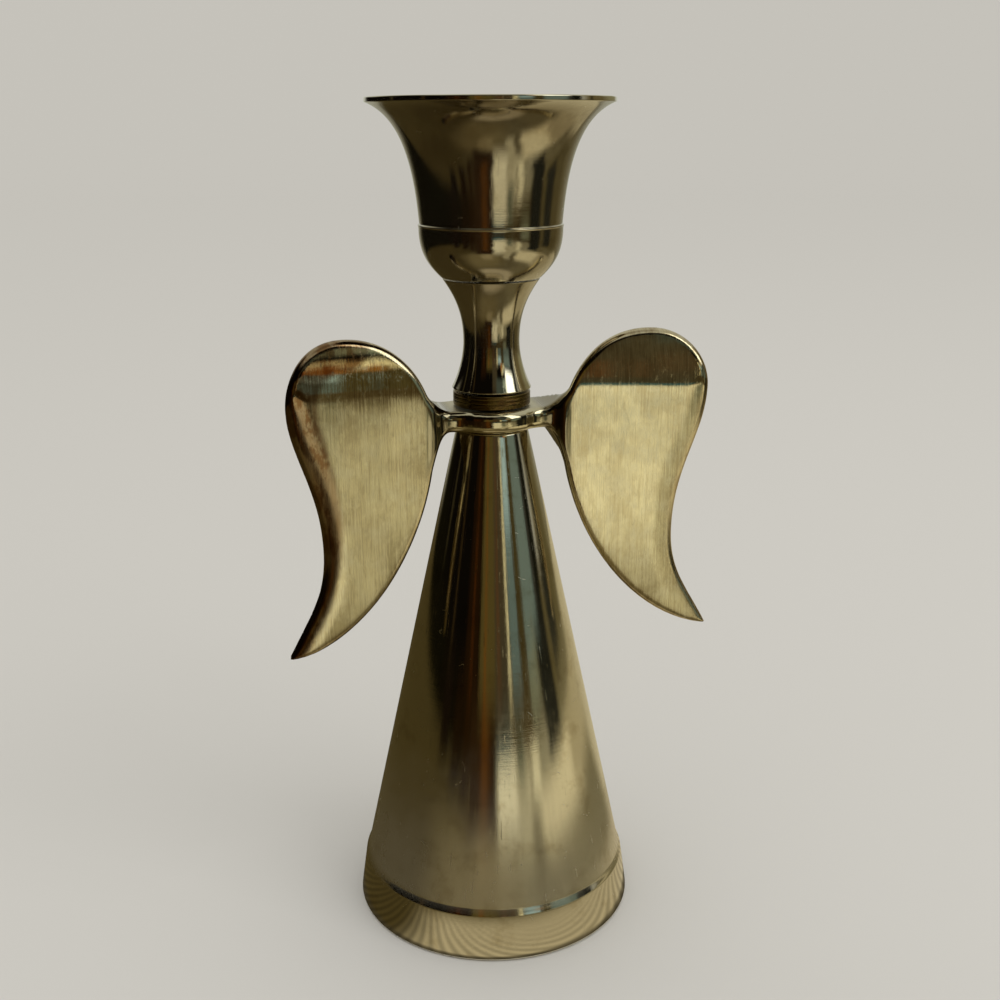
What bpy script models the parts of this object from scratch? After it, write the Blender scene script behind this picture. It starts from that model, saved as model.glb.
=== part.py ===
"""Taper candle holder in the shape of a winged figure: a hollow cone, a cast yoke with two wings, a
waisted stem and a flared candle cup, all clamped on one threaded rod.

Origin: the centre of the foot, on the surface that the holder stands on. +Z up, the wings reach along
X, and their front faces look along -Y. Lengths are in millimetres and are turned to metres by MM.
"""

import math

import bmesh
import bpy
from mathutils import Vector

MM = 0.001

# Heights of the stack, from the foot up
CONE_HEIGHT = 99.8
HUB_THICKNESS = 4.0
COLLAR_HEIGHT = 2.6
STEM_HEIGHT = 20.7
CUP_HEIGHT = 31.7
SEAT_GAP = 0.3

# Skirt: the hollow cone
CONE_TOP_RADIUS = 6.95
CONE_FOOT_RADIUS = 26.2
CONE_WALL = 1.7
CONE_TOP_WALL = 2.8
CONE_TOP_ROUND = 0.5
FOOT_BAND_HEIGHT = 10.4
FOOT_STEP_WIDTH = 0.6
FOOT_STEP_HEIGHT = 1.2
FOOT_RADIUS = 28.0
FOOT_ROUND = 0.7
FOOT_RIM_WIDTH = 2.0

# Tie rod, washer and nut
ROD_RADIUS = 2.5
ROD_CLEARANCE = 0.3
ROD_TIP_BELOW_NUT = 1.6
ROD_CHAMFER = 0.5
THREAD_DEPTH_IN_CUP = 5.3
WASHER_RADIUS = 5.0
WASHER_THICKNESS = 1.0
NUT_ACROSS_FLATS = 8.0
NUT_HEIGHT = 4.0
NUT_CHAMFER = 0.45

# Collar and stem. Here and on the cup, a reach is how far sideways a curve runs on as it leaves a
# corner, and a pull is how far up or down it does, as a share of the height that it spans
COLLAR_RADIUS = 7.35
COLLAR_EDGE = 0.15
STEM_FOOT_RADIUS = 7.5
STEM_WAIST_RADIUS = 5.28
STEM_WAIST_HEIGHT = 9.1
STEM_NECK_RADIUS = 9.1
STEM_FOOT_EDGE = 0.3
STEM_NECK_REACH = 2.2
STEM_NECK_PULL = 0.27
STEM_WAIST_PULL_UP = 0.46
STEM_WAIST_PULL_DOWN = 0.28
STEM_FOOT_REACH = 1.5
STEM_FOOT_PULL = 0.34

# Candle cup: outside
RIM_RADIUS = 22.6
RIM_LIP_HEIGHT = 0.9
RIM_EDGE = 0.15
RIM_REACH = 6.5
RIM_PULL = 0.11
BOWL_FOOT_RADIUS = 9.35
BOWL_RADIUS = 13.42
BOWL_HEIGHT = 9.2
BOWL_BRIM_REACH = 0.15
BOWL_BRIM_PULL = 0.47
BOWL_FOOT_REACH = 2.8
BOWL_FOOT_PULL = 0.29
WAIST_STEP = 0.15
WAIST_STEP_HEIGHT = 0.35
WAIST_REACH = 0.9
WAIST_PULL = 0.49

# Candle cup: inside
SOCKET_RADIUS = 11.25
SOCKET_FLOOR = 7.2
SOCKET_STRAIGHT = 11.5
SOCKET_FLOOR_ROUND = 1.0
SOCKET_TOP_REACH = 0.6
SOCKET_TOP_PULL = 0.45
RIM_WALL = 1.1
MOUTH_REACH = 6.6
MOUTH_PULL = 0.19

# Wing yoke: the hub
HUB_RADIUS = 8.85
HUB_ROUND = 0.9

# Wing yoke: the arms. Each leaves the hub as a wide flat strap and turns into an upright plate
ARM_ROOT_FROM_HOLE = 2.2
ARM_STRAP_FRONT = 5.7
ARM_STRAP_BACK = 5.6
ARM_FLAT_PAST_HUB = 0.15
ARM_INTO_BLADE = 1.9
ARM_PLATE_INSET = 0.2
ARM_RISE = 4.7
ARM_RISE_POWER = 1.7
ARM_DROP = 11.4
ARM_DROP_POWER = 2.0
ARM_INSET = 0.08
ARM_CORNER_POWER = 0.38

# Wing yoke: the blades. Each is flat, stands WING_FORWARD in front of the axis at WING_HINGE and
# sweeps forward from there
WING_HINGE = 8.0
WING_FORWARD = 4.9
WING_SWEEP = math.radians(10.8)
WING_THICKNESS = 2.4
WING_TIP_THICKNESS = 1.7
WING_EDGE_ROUND = 1.1
WING_EDGE_SHARE = 0.35
WING_CROWN = 0.55
WING_CROWN_WIDTH = 6.0
WING_BEND_START = 8.0
WING_BEND_RADIUS = 24.0

# The blade's outline on its own plane: (distance out from WING_HINGE, height over the hub's floor).
# Curves join these corners, and leave each along its pulls.
WING_APEX = (21.0, 18.6)
APEX_PULL_OUT = 7.0
APEX_PULL_IN = 12.5
WING_SHOULDER = (32.0, 7.8)
SHOULDER_PULL_UP = 5.5
SHOULDER_PULL_DOWN = 9.5
WING_WAIST = (26.1, -20.9)
WAIST_PULL_UP = 13.3
WAIST_PULL_DOWN = 8.6
WING_INNER = (4.3, 0.2)
INNER_PULL_UP = 6.9
INNER_PULL_DOWN = 17.6
WING_TIP = (33.5, -40.3)
TIP_PULL_OUTER = (-3.6, 7.2)
TIP_PULL_INNER = (-17.0, 1.8)

# Fineness of the meshes: counts of steps round a turned piece, of points along a curve, and of stations
LARGE_TURN_COUNT = 64
MIDDLE_TURN_COUNT = 48
SMALL_TURN_COUNT = 40
STEM_POINT_COUNT = 8
FLARE_POINT_COUNT = 14
BOWL_POINT_COUNT = 9
MOUTH_POINT_COUNT = 9
OUTLINE_POINT_COUNT = 24
WING_STATION_COUNT = 26
STATION_CROWDING = 0.45
EDGE_POINT_COUNT = 3
FACE_POINT_COUNT = 6
ARM_STATION_COUNT = 11
ARM_POINT_COUNT = 24

# Heights worked out from the stack
HUB_FLOOR = CONE_HEIGHT + SEAT_GAP
HUB_TOP = HUB_FLOOR + HUB_THICKNESS
COLLAR_FLOOR = HUB_TOP + SEAT_GAP
COLLAR_TOP = COLLAR_FLOOR + COLLAR_HEIGHT
STEM_FLOOR = COLLAR_TOP + SEAT_GAP
STEM_TOP = STEM_FLOOR + STEM_HEIGHT
CUP_FLOOR = STEM_TOP + SEAT_GAP
CEILING = CONE_HEIGHT - CONE_TOP_WALL
WASHER_TOP = CEILING - SEAT_GAP
NUT_TOP = WASHER_TOP - WASHER_THICKNESS - SEAT_GAP
ROD_FOOT = NUT_TOP - NUT_HEIGHT - ROD_TIP_BELOW_NUT
ROD_TOP = CUP_FLOOR + THREAD_DEPTH_IN_CUP
ROD_HOLE = ROD_RADIUS + ROD_CLEARANCE

# Distances from the axis worked out from the hub and the blades
ARM_ROOT = ROD_HOLE + ARM_ROOT_FROM_HOLE
ARM_TURN_START = HUB_RADIUS + ARM_FLAT_PAST_HUB
ARM_REACH = WING_HINGE + WING_INNER[0] + ARM_INTO_BLADE


def clear_scene():
    for old in list(bpy.data.objects):
        bpy.data.objects.remove(old, do_unlink=True)


def new_collection(name):
    collection = bpy.data.collections.new(name)
    bpy.context.scene.collection.children.link(collection)
    return collection


def new_material(name, color, roughness, metallic=1.0):
    material = bpy.data.materials.new(name)
    material.use_nodes = True
    shader = material.node_tree.nodes["Principled BSDF"]
    shader.inputs["Base Color"].default_value = (*color, 1.0)
    shader.inputs["Roughness"].default_value = roughness
    shader.inputs["Metallic"].default_value = metallic
    return material


def bezier(start, pull_start, pull_end, end, count, with_start=True):
    """Points along a cubic Bezier curve, count of them after its start."""
    points = []
    for i in range(0 if with_start else 1, count + 1):
        t = i / count
        s = 1 - t
        weights = (s**3, 3 * s * s * t, 3 * s * t * t, t**3)
        corners = (start, pull_start, pull_end, end)
        points.append(tuple(sum(w * c[k] for w, c in zip(weights, corners)) for k in (0, 1)))
    return points


def shifted(corner, out=0.0, up=0.0):
    return (corner[0] + out, corner[1] + up)


def corner_round(corner, radius, angle_from, angle_to, count=3):
    """Points on a quarter round. corner is where its two straight sides would meet."""
    a = math.radians(angle_from)
    b = math.radians(angle_to)
    centre_x = corner[0] - radius * (1 if math.cos(a) + math.cos(b) > 0 else -1)
    centre_z = corner[1] - radius * (1 if math.sin(a) + math.sin(b) > 0 else -1)
    points = []
    for i in range(count + 1):
        angle = a + (b - a) * i / count
        points.append((centre_x + radius * math.cos(angle), centre_z + radius * math.sin(angle)))
    return points


def turned(name, profile, closed, steps, material, collection, height=0.0):
    """A turned piece. Its profile is (radius, height) in mm, running down the outer side. A closed
    profile makes a ring, and an open one starts and ends on the axis."""
    mesh = bpy.data.meshes.new(name)
    points = [(r * MM, 0.0, z * MM) for r, z in profile]
    edges = [(i, i + 1) for i in range(len(points) - 1)]
    if closed:
        edges.append((len(points) - 1, 0))
    mesh.from_pydata(points, edges, [])
    piece = bpy.data.objects.new(name, mesh)
    piece.location = (0.0, 0.0, height * MM)
    collection.objects.link(piece)
    screw = piece.modifiers.new("Turn", "SCREW")
    screw.axis = "Z"
    screw.angle = math.tau
    screw.steps = steps
    screw.render_steps = steps
    screw.use_merge_vertices = True
    screw.merge_threshold = 0.00001
    screw.use_smooth_shade = True
    mesh.materials.append(material)
    return piece


def make_skirt(material, collection):
    """Hollow cone, one wall all round, open below, with a round hole in its top wall."""
    slope = (CONE_FOOT_RADIUS - CONE_TOP_RADIUS) / (CONE_HEIGHT - FOOT_BAND_HEIGHT)
    band_top = (CONE_FOOT_RADIUS + FOOT_STEP_WIDTH, FOOT_BAND_HEIGHT - FOOT_STEP_HEIGHT)
    inner_shift = CONE_WALL * math.hypot(1, slope)
    inner_foot = FOOT_RADIUS - FOOT_RIM_WIDTH
    inner_band = CONE_FOOT_RADIUS - inner_shift
    inner_top = CONE_TOP_RADIUS + slope * CONE_TOP_WALL - inner_shift
    profile = [(ROD_HOLE, CONE_HEIGHT)]
    profile += corner_round((CONE_TOP_RADIUS, CONE_HEIGHT), CONE_TOP_ROUND, 90, 0, 2)
    profile += [(CONE_FOOT_RADIUS, FOOT_BAND_HEIGHT), band_top]
    profile += corner_round((FOOT_RADIUS, 0.0), FOOT_ROUND, 0, -90)
    profile += [(inner_foot, 0.0), (inner_band, FOOT_BAND_HEIGHT), (inner_top, CEILING)]
    profile += [(ROD_HOLE, CEILING)]
    return turned("skirt", profile, True, LARGE_TURN_COUNT, material, collection)


def make_collar(material, collection):
    """Plain ring with a broken edge, seated on the hub."""
    profile = [
        (ROD_HOLE, COLLAR_HEIGHT),
        (COLLAR_RADIUS - COLLAR_EDGE, COLLAR_HEIGHT),
        (COLLAR_RADIUS, COLLAR_HEIGHT - COLLAR_EDGE),
        (COLLAR_RADIUS, COLLAR_EDGE),
        (COLLAR_RADIUS - COLLAR_EDGE, 0.0),
        (ROD_HOLE, 0.0),
    ]
    return turned("spacer_collar", profile, True, MIDDLE_TURN_COUNT, material, collection, COLLAR_FLOOR)


def make_stem(material, collection):
    """Waisted column: wide at the neck, narrowest below the middle, and a flared foot."""
    waist = (STEM_WAIST_RADIUS, STEM_WAIST_HEIGHT)
    upper = STEM_HEIGHT - STEM_WAIST_HEIGHT
    foot = (STEM_FOOT_RADIUS, STEM_FOOT_EDGE)
    lower = STEM_WAIST_HEIGHT - STEM_FOOT_EDGE
    profile = [(ROD_HOLE, STEM_HEIGHT)]
    profile += bezier(
        (STEM_NECK_RADIUS, STEM_HEIGHT),
        (STEM_NECK_RADIUS - STEM_NECK_REACH, STEM_HEIGHT - STEM_NECK_PULL * upper),
        shifted(waist, up=STEM_WAIST_PULL_UP * upper),
        waist,
        STEM_POINT_COUNT,
    )
    profile += bezier(
        waist,
        shifted(waist, up=-STEM_WAIST_PULL_DOWN * lower),
        shifted(foot, out=-STEM_FOOT_REACH, up=STEM_FOOT_PULL * lower),
        foot,
        STEM_POINT_COUNT,
        with_start=False,
    )
    profile += [(STEM_FOOT_RADIUS - STEM_FOOT_EDGE, 0.0), (ROD_HOLE, 0.0)]
    return turned("stem", profile, True, MIDDLE_TURN_COUNT, material, collection, STEM_FLOOR)


def make_cup(material, collection):
    """Candle cup: straight socket inside a flared mouth, and outside the flare, a fine step at the
    waist and a round bowl. A blind hole in its foot takes the rod."""
    lip = (RIM_RADIUS, CUP_HEIGHT - RIM_LIP_HEIGHT)
    mouth = (RIM_RADIUS - RIM_WALL, CUP_HEIGHT)
    socket_top = (SOCKET_RADIUS, SOCKET_FLOOR + SOCKET_STRAIGHT)
    waist = (BOWL_RADIUS - WAIST_STEP, BOWL_HEIGHT + WAIST_STEP_HEIGHT)
    brim = (BOWL_RADIUS, BOWL_HEIGHT)
    foot = (BOWL_FOOT_RADIUS, 0.0)
    flare_height = lip[1] - waist[1]
    mouth_height = mouth[1] - socket_top[1]
    profile = [(0.0, SOCKET_FLOOR), (SOCKET_RADIUS - SOCKET_FLOOR_ROUND, SOCKET_FLOOR)]
    profile += [(SOCKET_RADIUS, SOCKET_FLOOR + SOCKET_FLOOR_ROUND)]
    profile += bezier(
        socket_top,
        shifted(socket_top, out=SOCKET_TOP_REACH, up=SOCKET_TOP_PULL * mouth_height),
        shifted(mouth, out=-MOUTH_REACH, up=-MOUTH_PULL * mouth_height),
        mouth,
        MOUTH_POINT_COUNT,
    )
    profile += [(RIM_RADIUS - RIM_EDGE, CUP_HEIGHT), (RIM_RADIUS, CUP_HEIGHT - RIM_EDGE)]
    profile += bezier(
        lip,
        shifted(lip, out=-RIM_REACH, up=-RIM_PULL * flare_height),
        shifted(waist, out=WAIST_REACH, up=WAIST_PULL * flare_height),
        waist,
        FLARE_POINT_COUNT,
    )
    profile += bezier(
        brim,
        shifted(brim, out=-BOWL_BRIM_REACH, up=-BOWL_BRIM_PULL * BOWL_HEIGHT),
        shifted(foot, out=BOWL_FOOT_REACH, up=BOWL_FOOT_PULL * BOWL_HEIGHT),
        foot,
        BOWL_POINT_COUNT,
    )
    hole_top = THREAD_DEPTH_IN_CUP + ROD_CLEARANCE
    profile += [(ROD_HOLE, 0.0), (ROD_HOLE, hole_top), (0.0, hole_top)]
    return turned("candle_cup", profile, False, LARGE_TURN_COUNT, material, collection, CUP_FLOOR)


def make_rod(material, collection):
    """Threaded rod at its outer diameter, with chamfered ends."""
    length = ROD_TOP - ROD_FOOT
    tip = ROD_RADIUS - ROD_CHAMFER
    profile = [
        (0.0, length),
        (tip, length),
        (ROD_RADIUS, length - ROD_CHAMFER),
        (ROD_RADIUS, ROD_CHAMFER),
        (tip, 0.0),
        (0.0, 0.0),
    ]
    return turned("tie_rod", profile, False, SMALL_TURN_COUNT, material, collection, ROD_FOOT)


def make_washer(material, collection):
    profile = [
        (ROD_HOLE, WASHER_THICKNESS),
        (WASHER_RADIUS, WASHER_THICKNESS),
        (WASHER_RADIUS, 0.0),
        (ROD_HOLE, 0.0),
    ]
    floor = WASHER_TOP - WASHER_THICKNESS
    return turned("washer", profile, True, SMALL_TURN_COUNT, material, collection, floor)


def make_nut(material, collection, cutters):
    """Hexagon cut from a chamfered disc, with a round hole."""
    corner = NUT_ACROSS_FLATS / math.sqrt(3)
    rise = NUT_CHAMFER
    profile = [
        (ROD_HOLE, NUT_HEIGHT),
        (corner - NUT_CHAMFER, NUT_HEIGHT),
        (corner, NUT_HEIGHT - rise),
        (corner, rise),
        (corner - NUT_CHAMFER, 0.0),
        (ROD_HOLE, 0.0),
    ]
    floor = NUT_TOP - NUT_HEIGHT
    nut = turned("hex_nut", profile, True, SMALL_TURN_COUNT, material, collection, floor)
    mesh = bpy.data.meshes.new("nut_flats")
    prism = bmesh.new()
    bmesh.ops.create_cone(
        prism,
        cap_ends=True,
        segments=6,
        radius1=corner * MM,
        radius2=corner * MM,
        depth=2 * NUT_HEIGHT * MM,
    )
    prism.to_mesh(mesh)
    prism.free()
    flats = bpy.data.objects.new("nut_flats", mesh)
    flats.location = (0.0, 0.0, (floor + NUT_HEIGHT / 2) * MM)
    as_helper(flats, cutters)
    boolean(nut, flats, "INTERSECT")
    return nut


def as_helper(helper, cutters):
    cutters.objects.link(helper)
    helper.hide_render = True
    helper.display_type = "WIRE"


def boolean(piece, helper, operation):
    modifier = piece.modifiers.new(helper.name, "BOOLEAN")
    modifier.operation = operation
    modifier.solver = "EXACT"
    modifier.object = helper


def along(points, count):
    """count + 1 points spaced evenly along a line of points."""
    lengths = [0.0]
    for a, b in zip(points, points[1:]):
        lengths.append(lengths[-1] + math.dist(a, b))
    spaced = []
    k = 0
    for i in range(count + 1):
        # The stations crowd towards both ends, where the outline turns fastest
        t = i / count
        target = lengths[-1] * (t - STATION_CROWDING * math.sin(math.tau * t) / math.tau)
        while k < len(points) - 2 and lengths[k + 1] < target:
            k += 1
        part = (target - lengths[k]) / (lengths[k + 1] - lengths[k])
        a, b = points[k], points[k + 1]
        spaced.append((a[0] + (b[0] - a[0]) * part, a[1] + (b[1] - a[1]) * part))
    return spaced


def wing_edges():
    """Outer and inner edge of the blade, both from its apex to its tip."""
    outer_edge = bezier(
        WING_APEX,
        shifted(WING_APEX, out=APEX_PULL_OUT),
        shifted(WING_SHOULDER, up=SHOULDER_PULL_UP),
        WING_SHOULDER,
        OUTLINE_POINT_COUNT,
    )
    outer_edge += bezier(
        WING_SHOULDER,
        shifted(WING_SHOULDER, up=-SHOULDER_PULL_DOWN),
        shifted(WING_WAIST, up=WAIST_PULL_UP),
        WING_WAIST,
        OUTLINE_POINT_COUNT,
        with_start=False,
    )
    outer_edge += bezier(
        WING_WAIST,
        shifted(WING_WAIST, up=-WAIST_PULL_DOWN),
        shifted(WING_TIP, *TIP_PULL_OUTER),
        WING_TIP,
        OUTLINE_POINT_COUNT,
        with_start=False,
    )
    inner_edge = bezier(
        WING_APEX,
        shifted(WING_APEX, out=-APEX_PULL_IN),
        shifted(WING_INNER, up=INNER_PULL_UP),
        WING_INNER,
        OUTLINE_POINT_COUNT,
    )
    inner_edge += bezier(
        WING_INNER,
        shifted(WING_INNER, up=-INNER_PULL_DOWN),
        shifted(WING_TIP, *TIP_PULL_INNER),
        WING_TIP,
        OUTLINE_POINT_COUNT,
        with_start=False,
    )
    return outer_edge, inner_edge


def across(width):
    """(distance from the inner edge, share of the full thickness) over a wing's face, inner to outer.
    Near each edge the thickness follows a quarter of an ellipse."""
    rim = min(WING_EDGE_ROUND, WING_EDGE_SHARE * width)
    near = []
    for i in range(EDGE_POINT_COUNT + 1):
        angle = math.pi / 2 * i / EDGE_POINT_COUNT
        near.append((rim * (1 - math.cos(angle)), math.sin(angle)))
    middle = [(rim + (width - 2 * rim) * i / FACE_POINT_COUNT, 1.0) for i in range(1, FACE_POINT_COUNT)]
    return near + middle + [(width - d, share) for d, share in reversed(near)]


def wing_section(outer, inner, share):
    """Ring of points round the wing at one station: front face from inner to outer edge, then back."""
    width = math.dist(outer, inner)
    thickness = WING_THICKNESS + (WING_TIP_THICKNESS - WING_THICKNESS) * share
    front = []
    back = []
    for d, fullness in across(width):
        part = d / width
        u = inner[0] + (outer[0] - inner[0]) * part
        z = inner[1] + (outer[1] - inner[1]) * part
        half = thickness / 2 * fullness
        over_top = max(0.0, z - WING_BEND_START)
        into_edge = max(0.0, 1 - (width - d) / WING_CROWN_WIDTH)
        middle = over_top**2 / (2 * WING_BEND_RADIUS) + WING_CROWN * into_edge**2
        front.append((u, middle - half, z))
        back.append((u, middle + half, z))
    return front + back[-2:0:-1]


def out_along_wing(point):
    """A point of the wing's own plane, swept forward about the upright line at WING_HINGE, in metres."""
    u, depth, z = point
    x = WING_HINGE + u * math.cos(WING_SWEEP) + depth * math.sin(WING_SWEEP)
    y = -WING_FORWARD - u * math.sin(WING_SWEEP) + depth * math.cos(WING_SWEEP)
    return Vector((x, y, HUB_FLOOR + z)) * MM


def skin(name, rings, start, end):
    """Closed mesh over rings of equal count, with a fan to a point at each end."""
    count = len(rings[0])
    points = [p for ring in rings for p in ring] + [start, end]
    faces = []
    for k in range(len(rings) - 1):
        for i in range(count):
            j = (i + 1) % count
            a = k * count
            b = a + count
            faces.append((a + i, a + j, b + j, b + i))
    last = (len(rings) - 1) * count
    for i in range(count):
        j = (i + 1) % count
        faces.append((j, i, len(points) - 2))
        faces.append((last + i, last + j, len(points) - 1))
    mesh = bpy.data.meshes.new(name)
    mesh.from_pydata(points, [], faces)
    shape = bmesh.new()
    shape.from_mesh(mesh)
    bmesh.ops.recalc_face_normals(shape, faces=shape.faces)
    shape.to_mesh(mesh)
    shape.free()
    mesh.shade_smooth()
    return bpy.data.objects.new(name, mesh)


def make_blades(cutters):
    """Both wings: a loft from apex to tip, crowned and bent back at the top, and its mirror image."""
    outer_edge, inner_edge = wing_edges()
    outer = along(outer_edge, WING_STATION_COUNT)
    inner = along(inner_edge, WING_STATION_COUNT)
    rings = []
    for i in range(1, WING_STATION_COUNT):
        section = wing_section(outer[i], inner[i], i / WING_STATION_COUNT)
        rings.append([out_along_wing(p) for p in section])
    bend = (WING_APEX[1] - WING_BEND_START) ** 2 / (2 * WING_BEND_RADIUS)
    start = out_along_wing((WING_APEX[0], bend, WING_APEX[1]))
    end = out_along_wing((WING_TIP[0], WING_CROWN, WING_TIP[1]))
    blades = skin("wing_blades", rings, start, end)
    mirror(blades)
    as_helper(blades, cutters)
    return blades


def mirror(half):
    modifier = half.modifiers.new("Mirror", "MIRROR")
    modifier.use_axis = (True, False, False)
    modifier.use_mirror_merge = False


def ease(t):
    """0 to 1 with a level start and end."""
    t = min(1.0, max(0.0, t))
    return t * t * (3 - 2 * t)


def blend(a, b, t):
    return a + (b - a) * ease(t)


def arm_section(x):
    """Front, back, floor and top of an arm at distance x. Both edges leave the hub's round smoothly and
    run straight. Then the front edge stays near the blade's front face, and the back edge comes
    forward to the blade as the arm turns upright."""
    on_hub = math.sqrt(HUB_RADIUS**2 - ARM_ROOT**2) - ARM_INSET
    from_hub = max(0.0, (ARM_TURN_START - x) / (ARM_TURN_START - ARM_ROOT)) ** 2
    turn = max(0.0, (x - ARM_TURN_START) / (ARM_REACH - ARM_TURN_START))
    on_blade = -WING_FORWARD - (x - WING_HINGE) * math.tan(WING_SWEEP)
    plate = WING_THICKNESS / 2 - ARM_PLATE_INSET
    strap_front = ARM_STRAP_FRONT + (on_hub - ARM_STRAP_FRONT) * from_hub
    strap_back = ARM_STRAP_BACK + (on_hub - ARM_STRAP_BACK) * from_hub
    front = blend(-strap_front, on_blade - plate, turn)
    back = blend(strap_back, on_blade + plate, turn)
    floor = HUB_FLOOR + ARM_INSET - ARM_DROP * turn**ARM_DROP_POWER
    top = HUB_TOP - ARM_INSET + ARM_RISE * turn**ARM_RISE_POWER
    return front, back, floor, top


def make_arms(cutters):
    """Both arms: lofts of rounded rectangles from inside the hub to inside the blade."""
    rings = []
    for k in range(ARM_STATION_COUNT + 1):
        x = ARM_ROOT + (ARM_REACH - ARM_ROOT) * k / ARM_STATION_COUNT
        front, back, floor, top = arm_section(x)
        ring = []
        for i in range(ARM_POINT_COUNT):
            angle = math.tau * (i + 0.5) / ARM_POINT_COUNT
            c, s = math.cos(angle), math.sin(angle)
            across_arm = math.copysign(abs(c) ** ARM_CORNER_POWER, c)
            up_arm = math.copysign(abs(s) ** ARM_CORNER_POWER, s)
            y = (front + back) / 2 + (back - front) / 2 * across_arm
            z = (floor + top) / 2 + (top - floor) / 2 * up_arm
            ring.append(Vector((x, y, z)) * MM)
        rings.append(ring)
    start = sum(rings[0], Vector()) / ARM_POINT_COUNT
    end = sum(rings[-1], Vector()) / ARM_POINT_COUNT
    arms = skin("wing_arms", rings, start, end)
    mirror(arms)
    as_helper(arms, cutters)
    return arms


def make_wings(material, collection, cutters):
    """One casting: a flat round hub with an arm and a wing on each side."""
    profile = [(ROD_HOLE, HUB_THICKNESS)]
    profile += corner_round((HUB_RADIUS, HUB_THICKNESS), HUB_ROUND, 90, 0)
    profile += corner_round((HUB_RADIUS, 0.0), HUB_ROUND, 0, -90)
    profile += [(ROD_HOLE, 0.0)]
    wings = turned("wings", profile, True, MIDDLE_TURN_COUNT, material, collection, HUB_FLOOR)
    boolean(wings, make_arms(cutters), "UNION")
    boolean(wings, make_blades(cutters), "UNION")
    return wings


def main():
    clear_scene()
    parts = new_collection("taper_candle_holder")
    cutters = new_collection("cutters")
    plate = (0.62, 0.58, 0.47)
    zinc = (0.55, 0.56, 0.57)
    make_skirt(new_material("skirt_plate", plate, 0.2), parts)
    make_wings(new_material("wing_plate", (0.60, 0.56, 0.44), 0.3), parts, cutters)
    make_collar(new_material("bare_brass", (0.55, 0.42, 0.18), 0.3), parts)
    make_stem(new_material("stem_plate", plate, 0.16), parts)
    make_cup(new_material("cup_plate", plate, 0.18), parts)
    make_rod(new_material("rod_zinc", zinc, 0.35), parts)
    make_washer(new_material("washer_zinc", zinc, 0.4), parts)
    make_nut(new_material("nut_zinc", zinc, 0.35), parts, cutters)


main()
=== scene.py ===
"""Winged taper candle holder: its finished metal pieces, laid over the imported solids, and a stage.

Lengths inside the shape functions are in millimetres, in the frame's axes: +Z up, wings along X,
front along -Y, and the origin at the centre of the foot. MM turns them to metres in a mesh.
"""

import math

import bpy
import numpy as np
from bpy.props import FloatProperty, FloatVectorProperty, IntProperty, PointerProperty
from mathutils import Matrix, Vector


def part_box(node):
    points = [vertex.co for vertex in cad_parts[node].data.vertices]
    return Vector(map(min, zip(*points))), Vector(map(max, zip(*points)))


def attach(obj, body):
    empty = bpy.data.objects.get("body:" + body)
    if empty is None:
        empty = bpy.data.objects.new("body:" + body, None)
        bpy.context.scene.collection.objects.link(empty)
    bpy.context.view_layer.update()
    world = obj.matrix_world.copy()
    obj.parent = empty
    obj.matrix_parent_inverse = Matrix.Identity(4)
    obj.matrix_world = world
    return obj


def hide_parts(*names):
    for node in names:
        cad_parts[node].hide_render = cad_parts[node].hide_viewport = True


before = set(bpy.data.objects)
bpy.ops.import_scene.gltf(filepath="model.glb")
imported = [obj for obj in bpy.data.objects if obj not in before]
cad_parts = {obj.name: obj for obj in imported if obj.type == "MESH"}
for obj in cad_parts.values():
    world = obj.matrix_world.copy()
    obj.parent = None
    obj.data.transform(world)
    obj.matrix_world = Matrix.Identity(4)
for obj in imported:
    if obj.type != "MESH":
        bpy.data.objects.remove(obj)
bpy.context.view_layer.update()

bl_info = {
    "name": "Winged Candle Holder",
    "version": (1, 0, 0),
    "blender": (4, 5, 0),
    "location": "View3D > Sidebar > Candle Holder",
    "description": "Builds the finished pieces of a winged taper candle holder and a plain stage",
    "category": "Object",
}

MM = 0.001
# Attributes and the UV map that the materials read
TONE, EDGE_DARKENING, ALONG_AND_ROUND = "tone", "tarnish", "along_and_round"
BUMP_DEPTH = 0.0001


def box_mm(node):
    """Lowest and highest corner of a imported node, in millimetres."""
    low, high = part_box(node)
    return np.array(low) / MM, np.array(high) / MM


SKIRT, WINGS, COLLAR, STEM, CUP, ROD, WASHER, NUT = map(
    box_mm,
    ("skirt", "wings", "spacer_collar", "stem", "candle_cup", "tie_rod", "washer", "hex_nut"),
)
SEAT_GAP = 0.3
HUB_FLOOR = SKIRT[1][2] + SEAT_GAP
HUB_TOP = COLLAR[0][2] - SEAT_GAP
ROD_HOLE = 2.8


# Properties


def length(name, description, millimetres):
    given = {"default": millimetres * MM, "precision": 5, "subtype": "DISTANCE", "unit": "LENGTH"}
    return FloatProperty(name=name, description=description, **given)


def angle(name, description, degrees):
    given = {"default": math.radians(degrees), "subtype": "ANGLE", "unit": "ROTATION"}
    return FloatProperty(name=name, description=description, **given)


def share(name, description, value):
    return FloatProperty(name=name, description=description, default=value, min=0.0, max=1.0)


def colour(name, description, value):
    given = {"default": value, "min": 0.0, "max": 1.0, "size": 3, "subtype": "COLOR"}
    return FloatVectorProperty(name=name, description=description, **given)


class SkirtSettings(bpy.types.PropertyGroup):
    top_radius: length("Top radius", "Radius of the cone under the wings", 6.95)
    foot_radius: length("Foot radius", "Radius of the foot on the table", SKIRT[1][0])
    cone_foot_radius: length("Cone foot radius", "Radius where the cone meets the foot band", 26.2)
    band_height: length("Band height", "Height of the band round the foot", 10.4)
    wall: length("Wall", "Thickness of the cone's wall", 1.7)
    top_wall: length("Top wall", "Thickness of the wall that the rod passes", 2.8)


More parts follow.
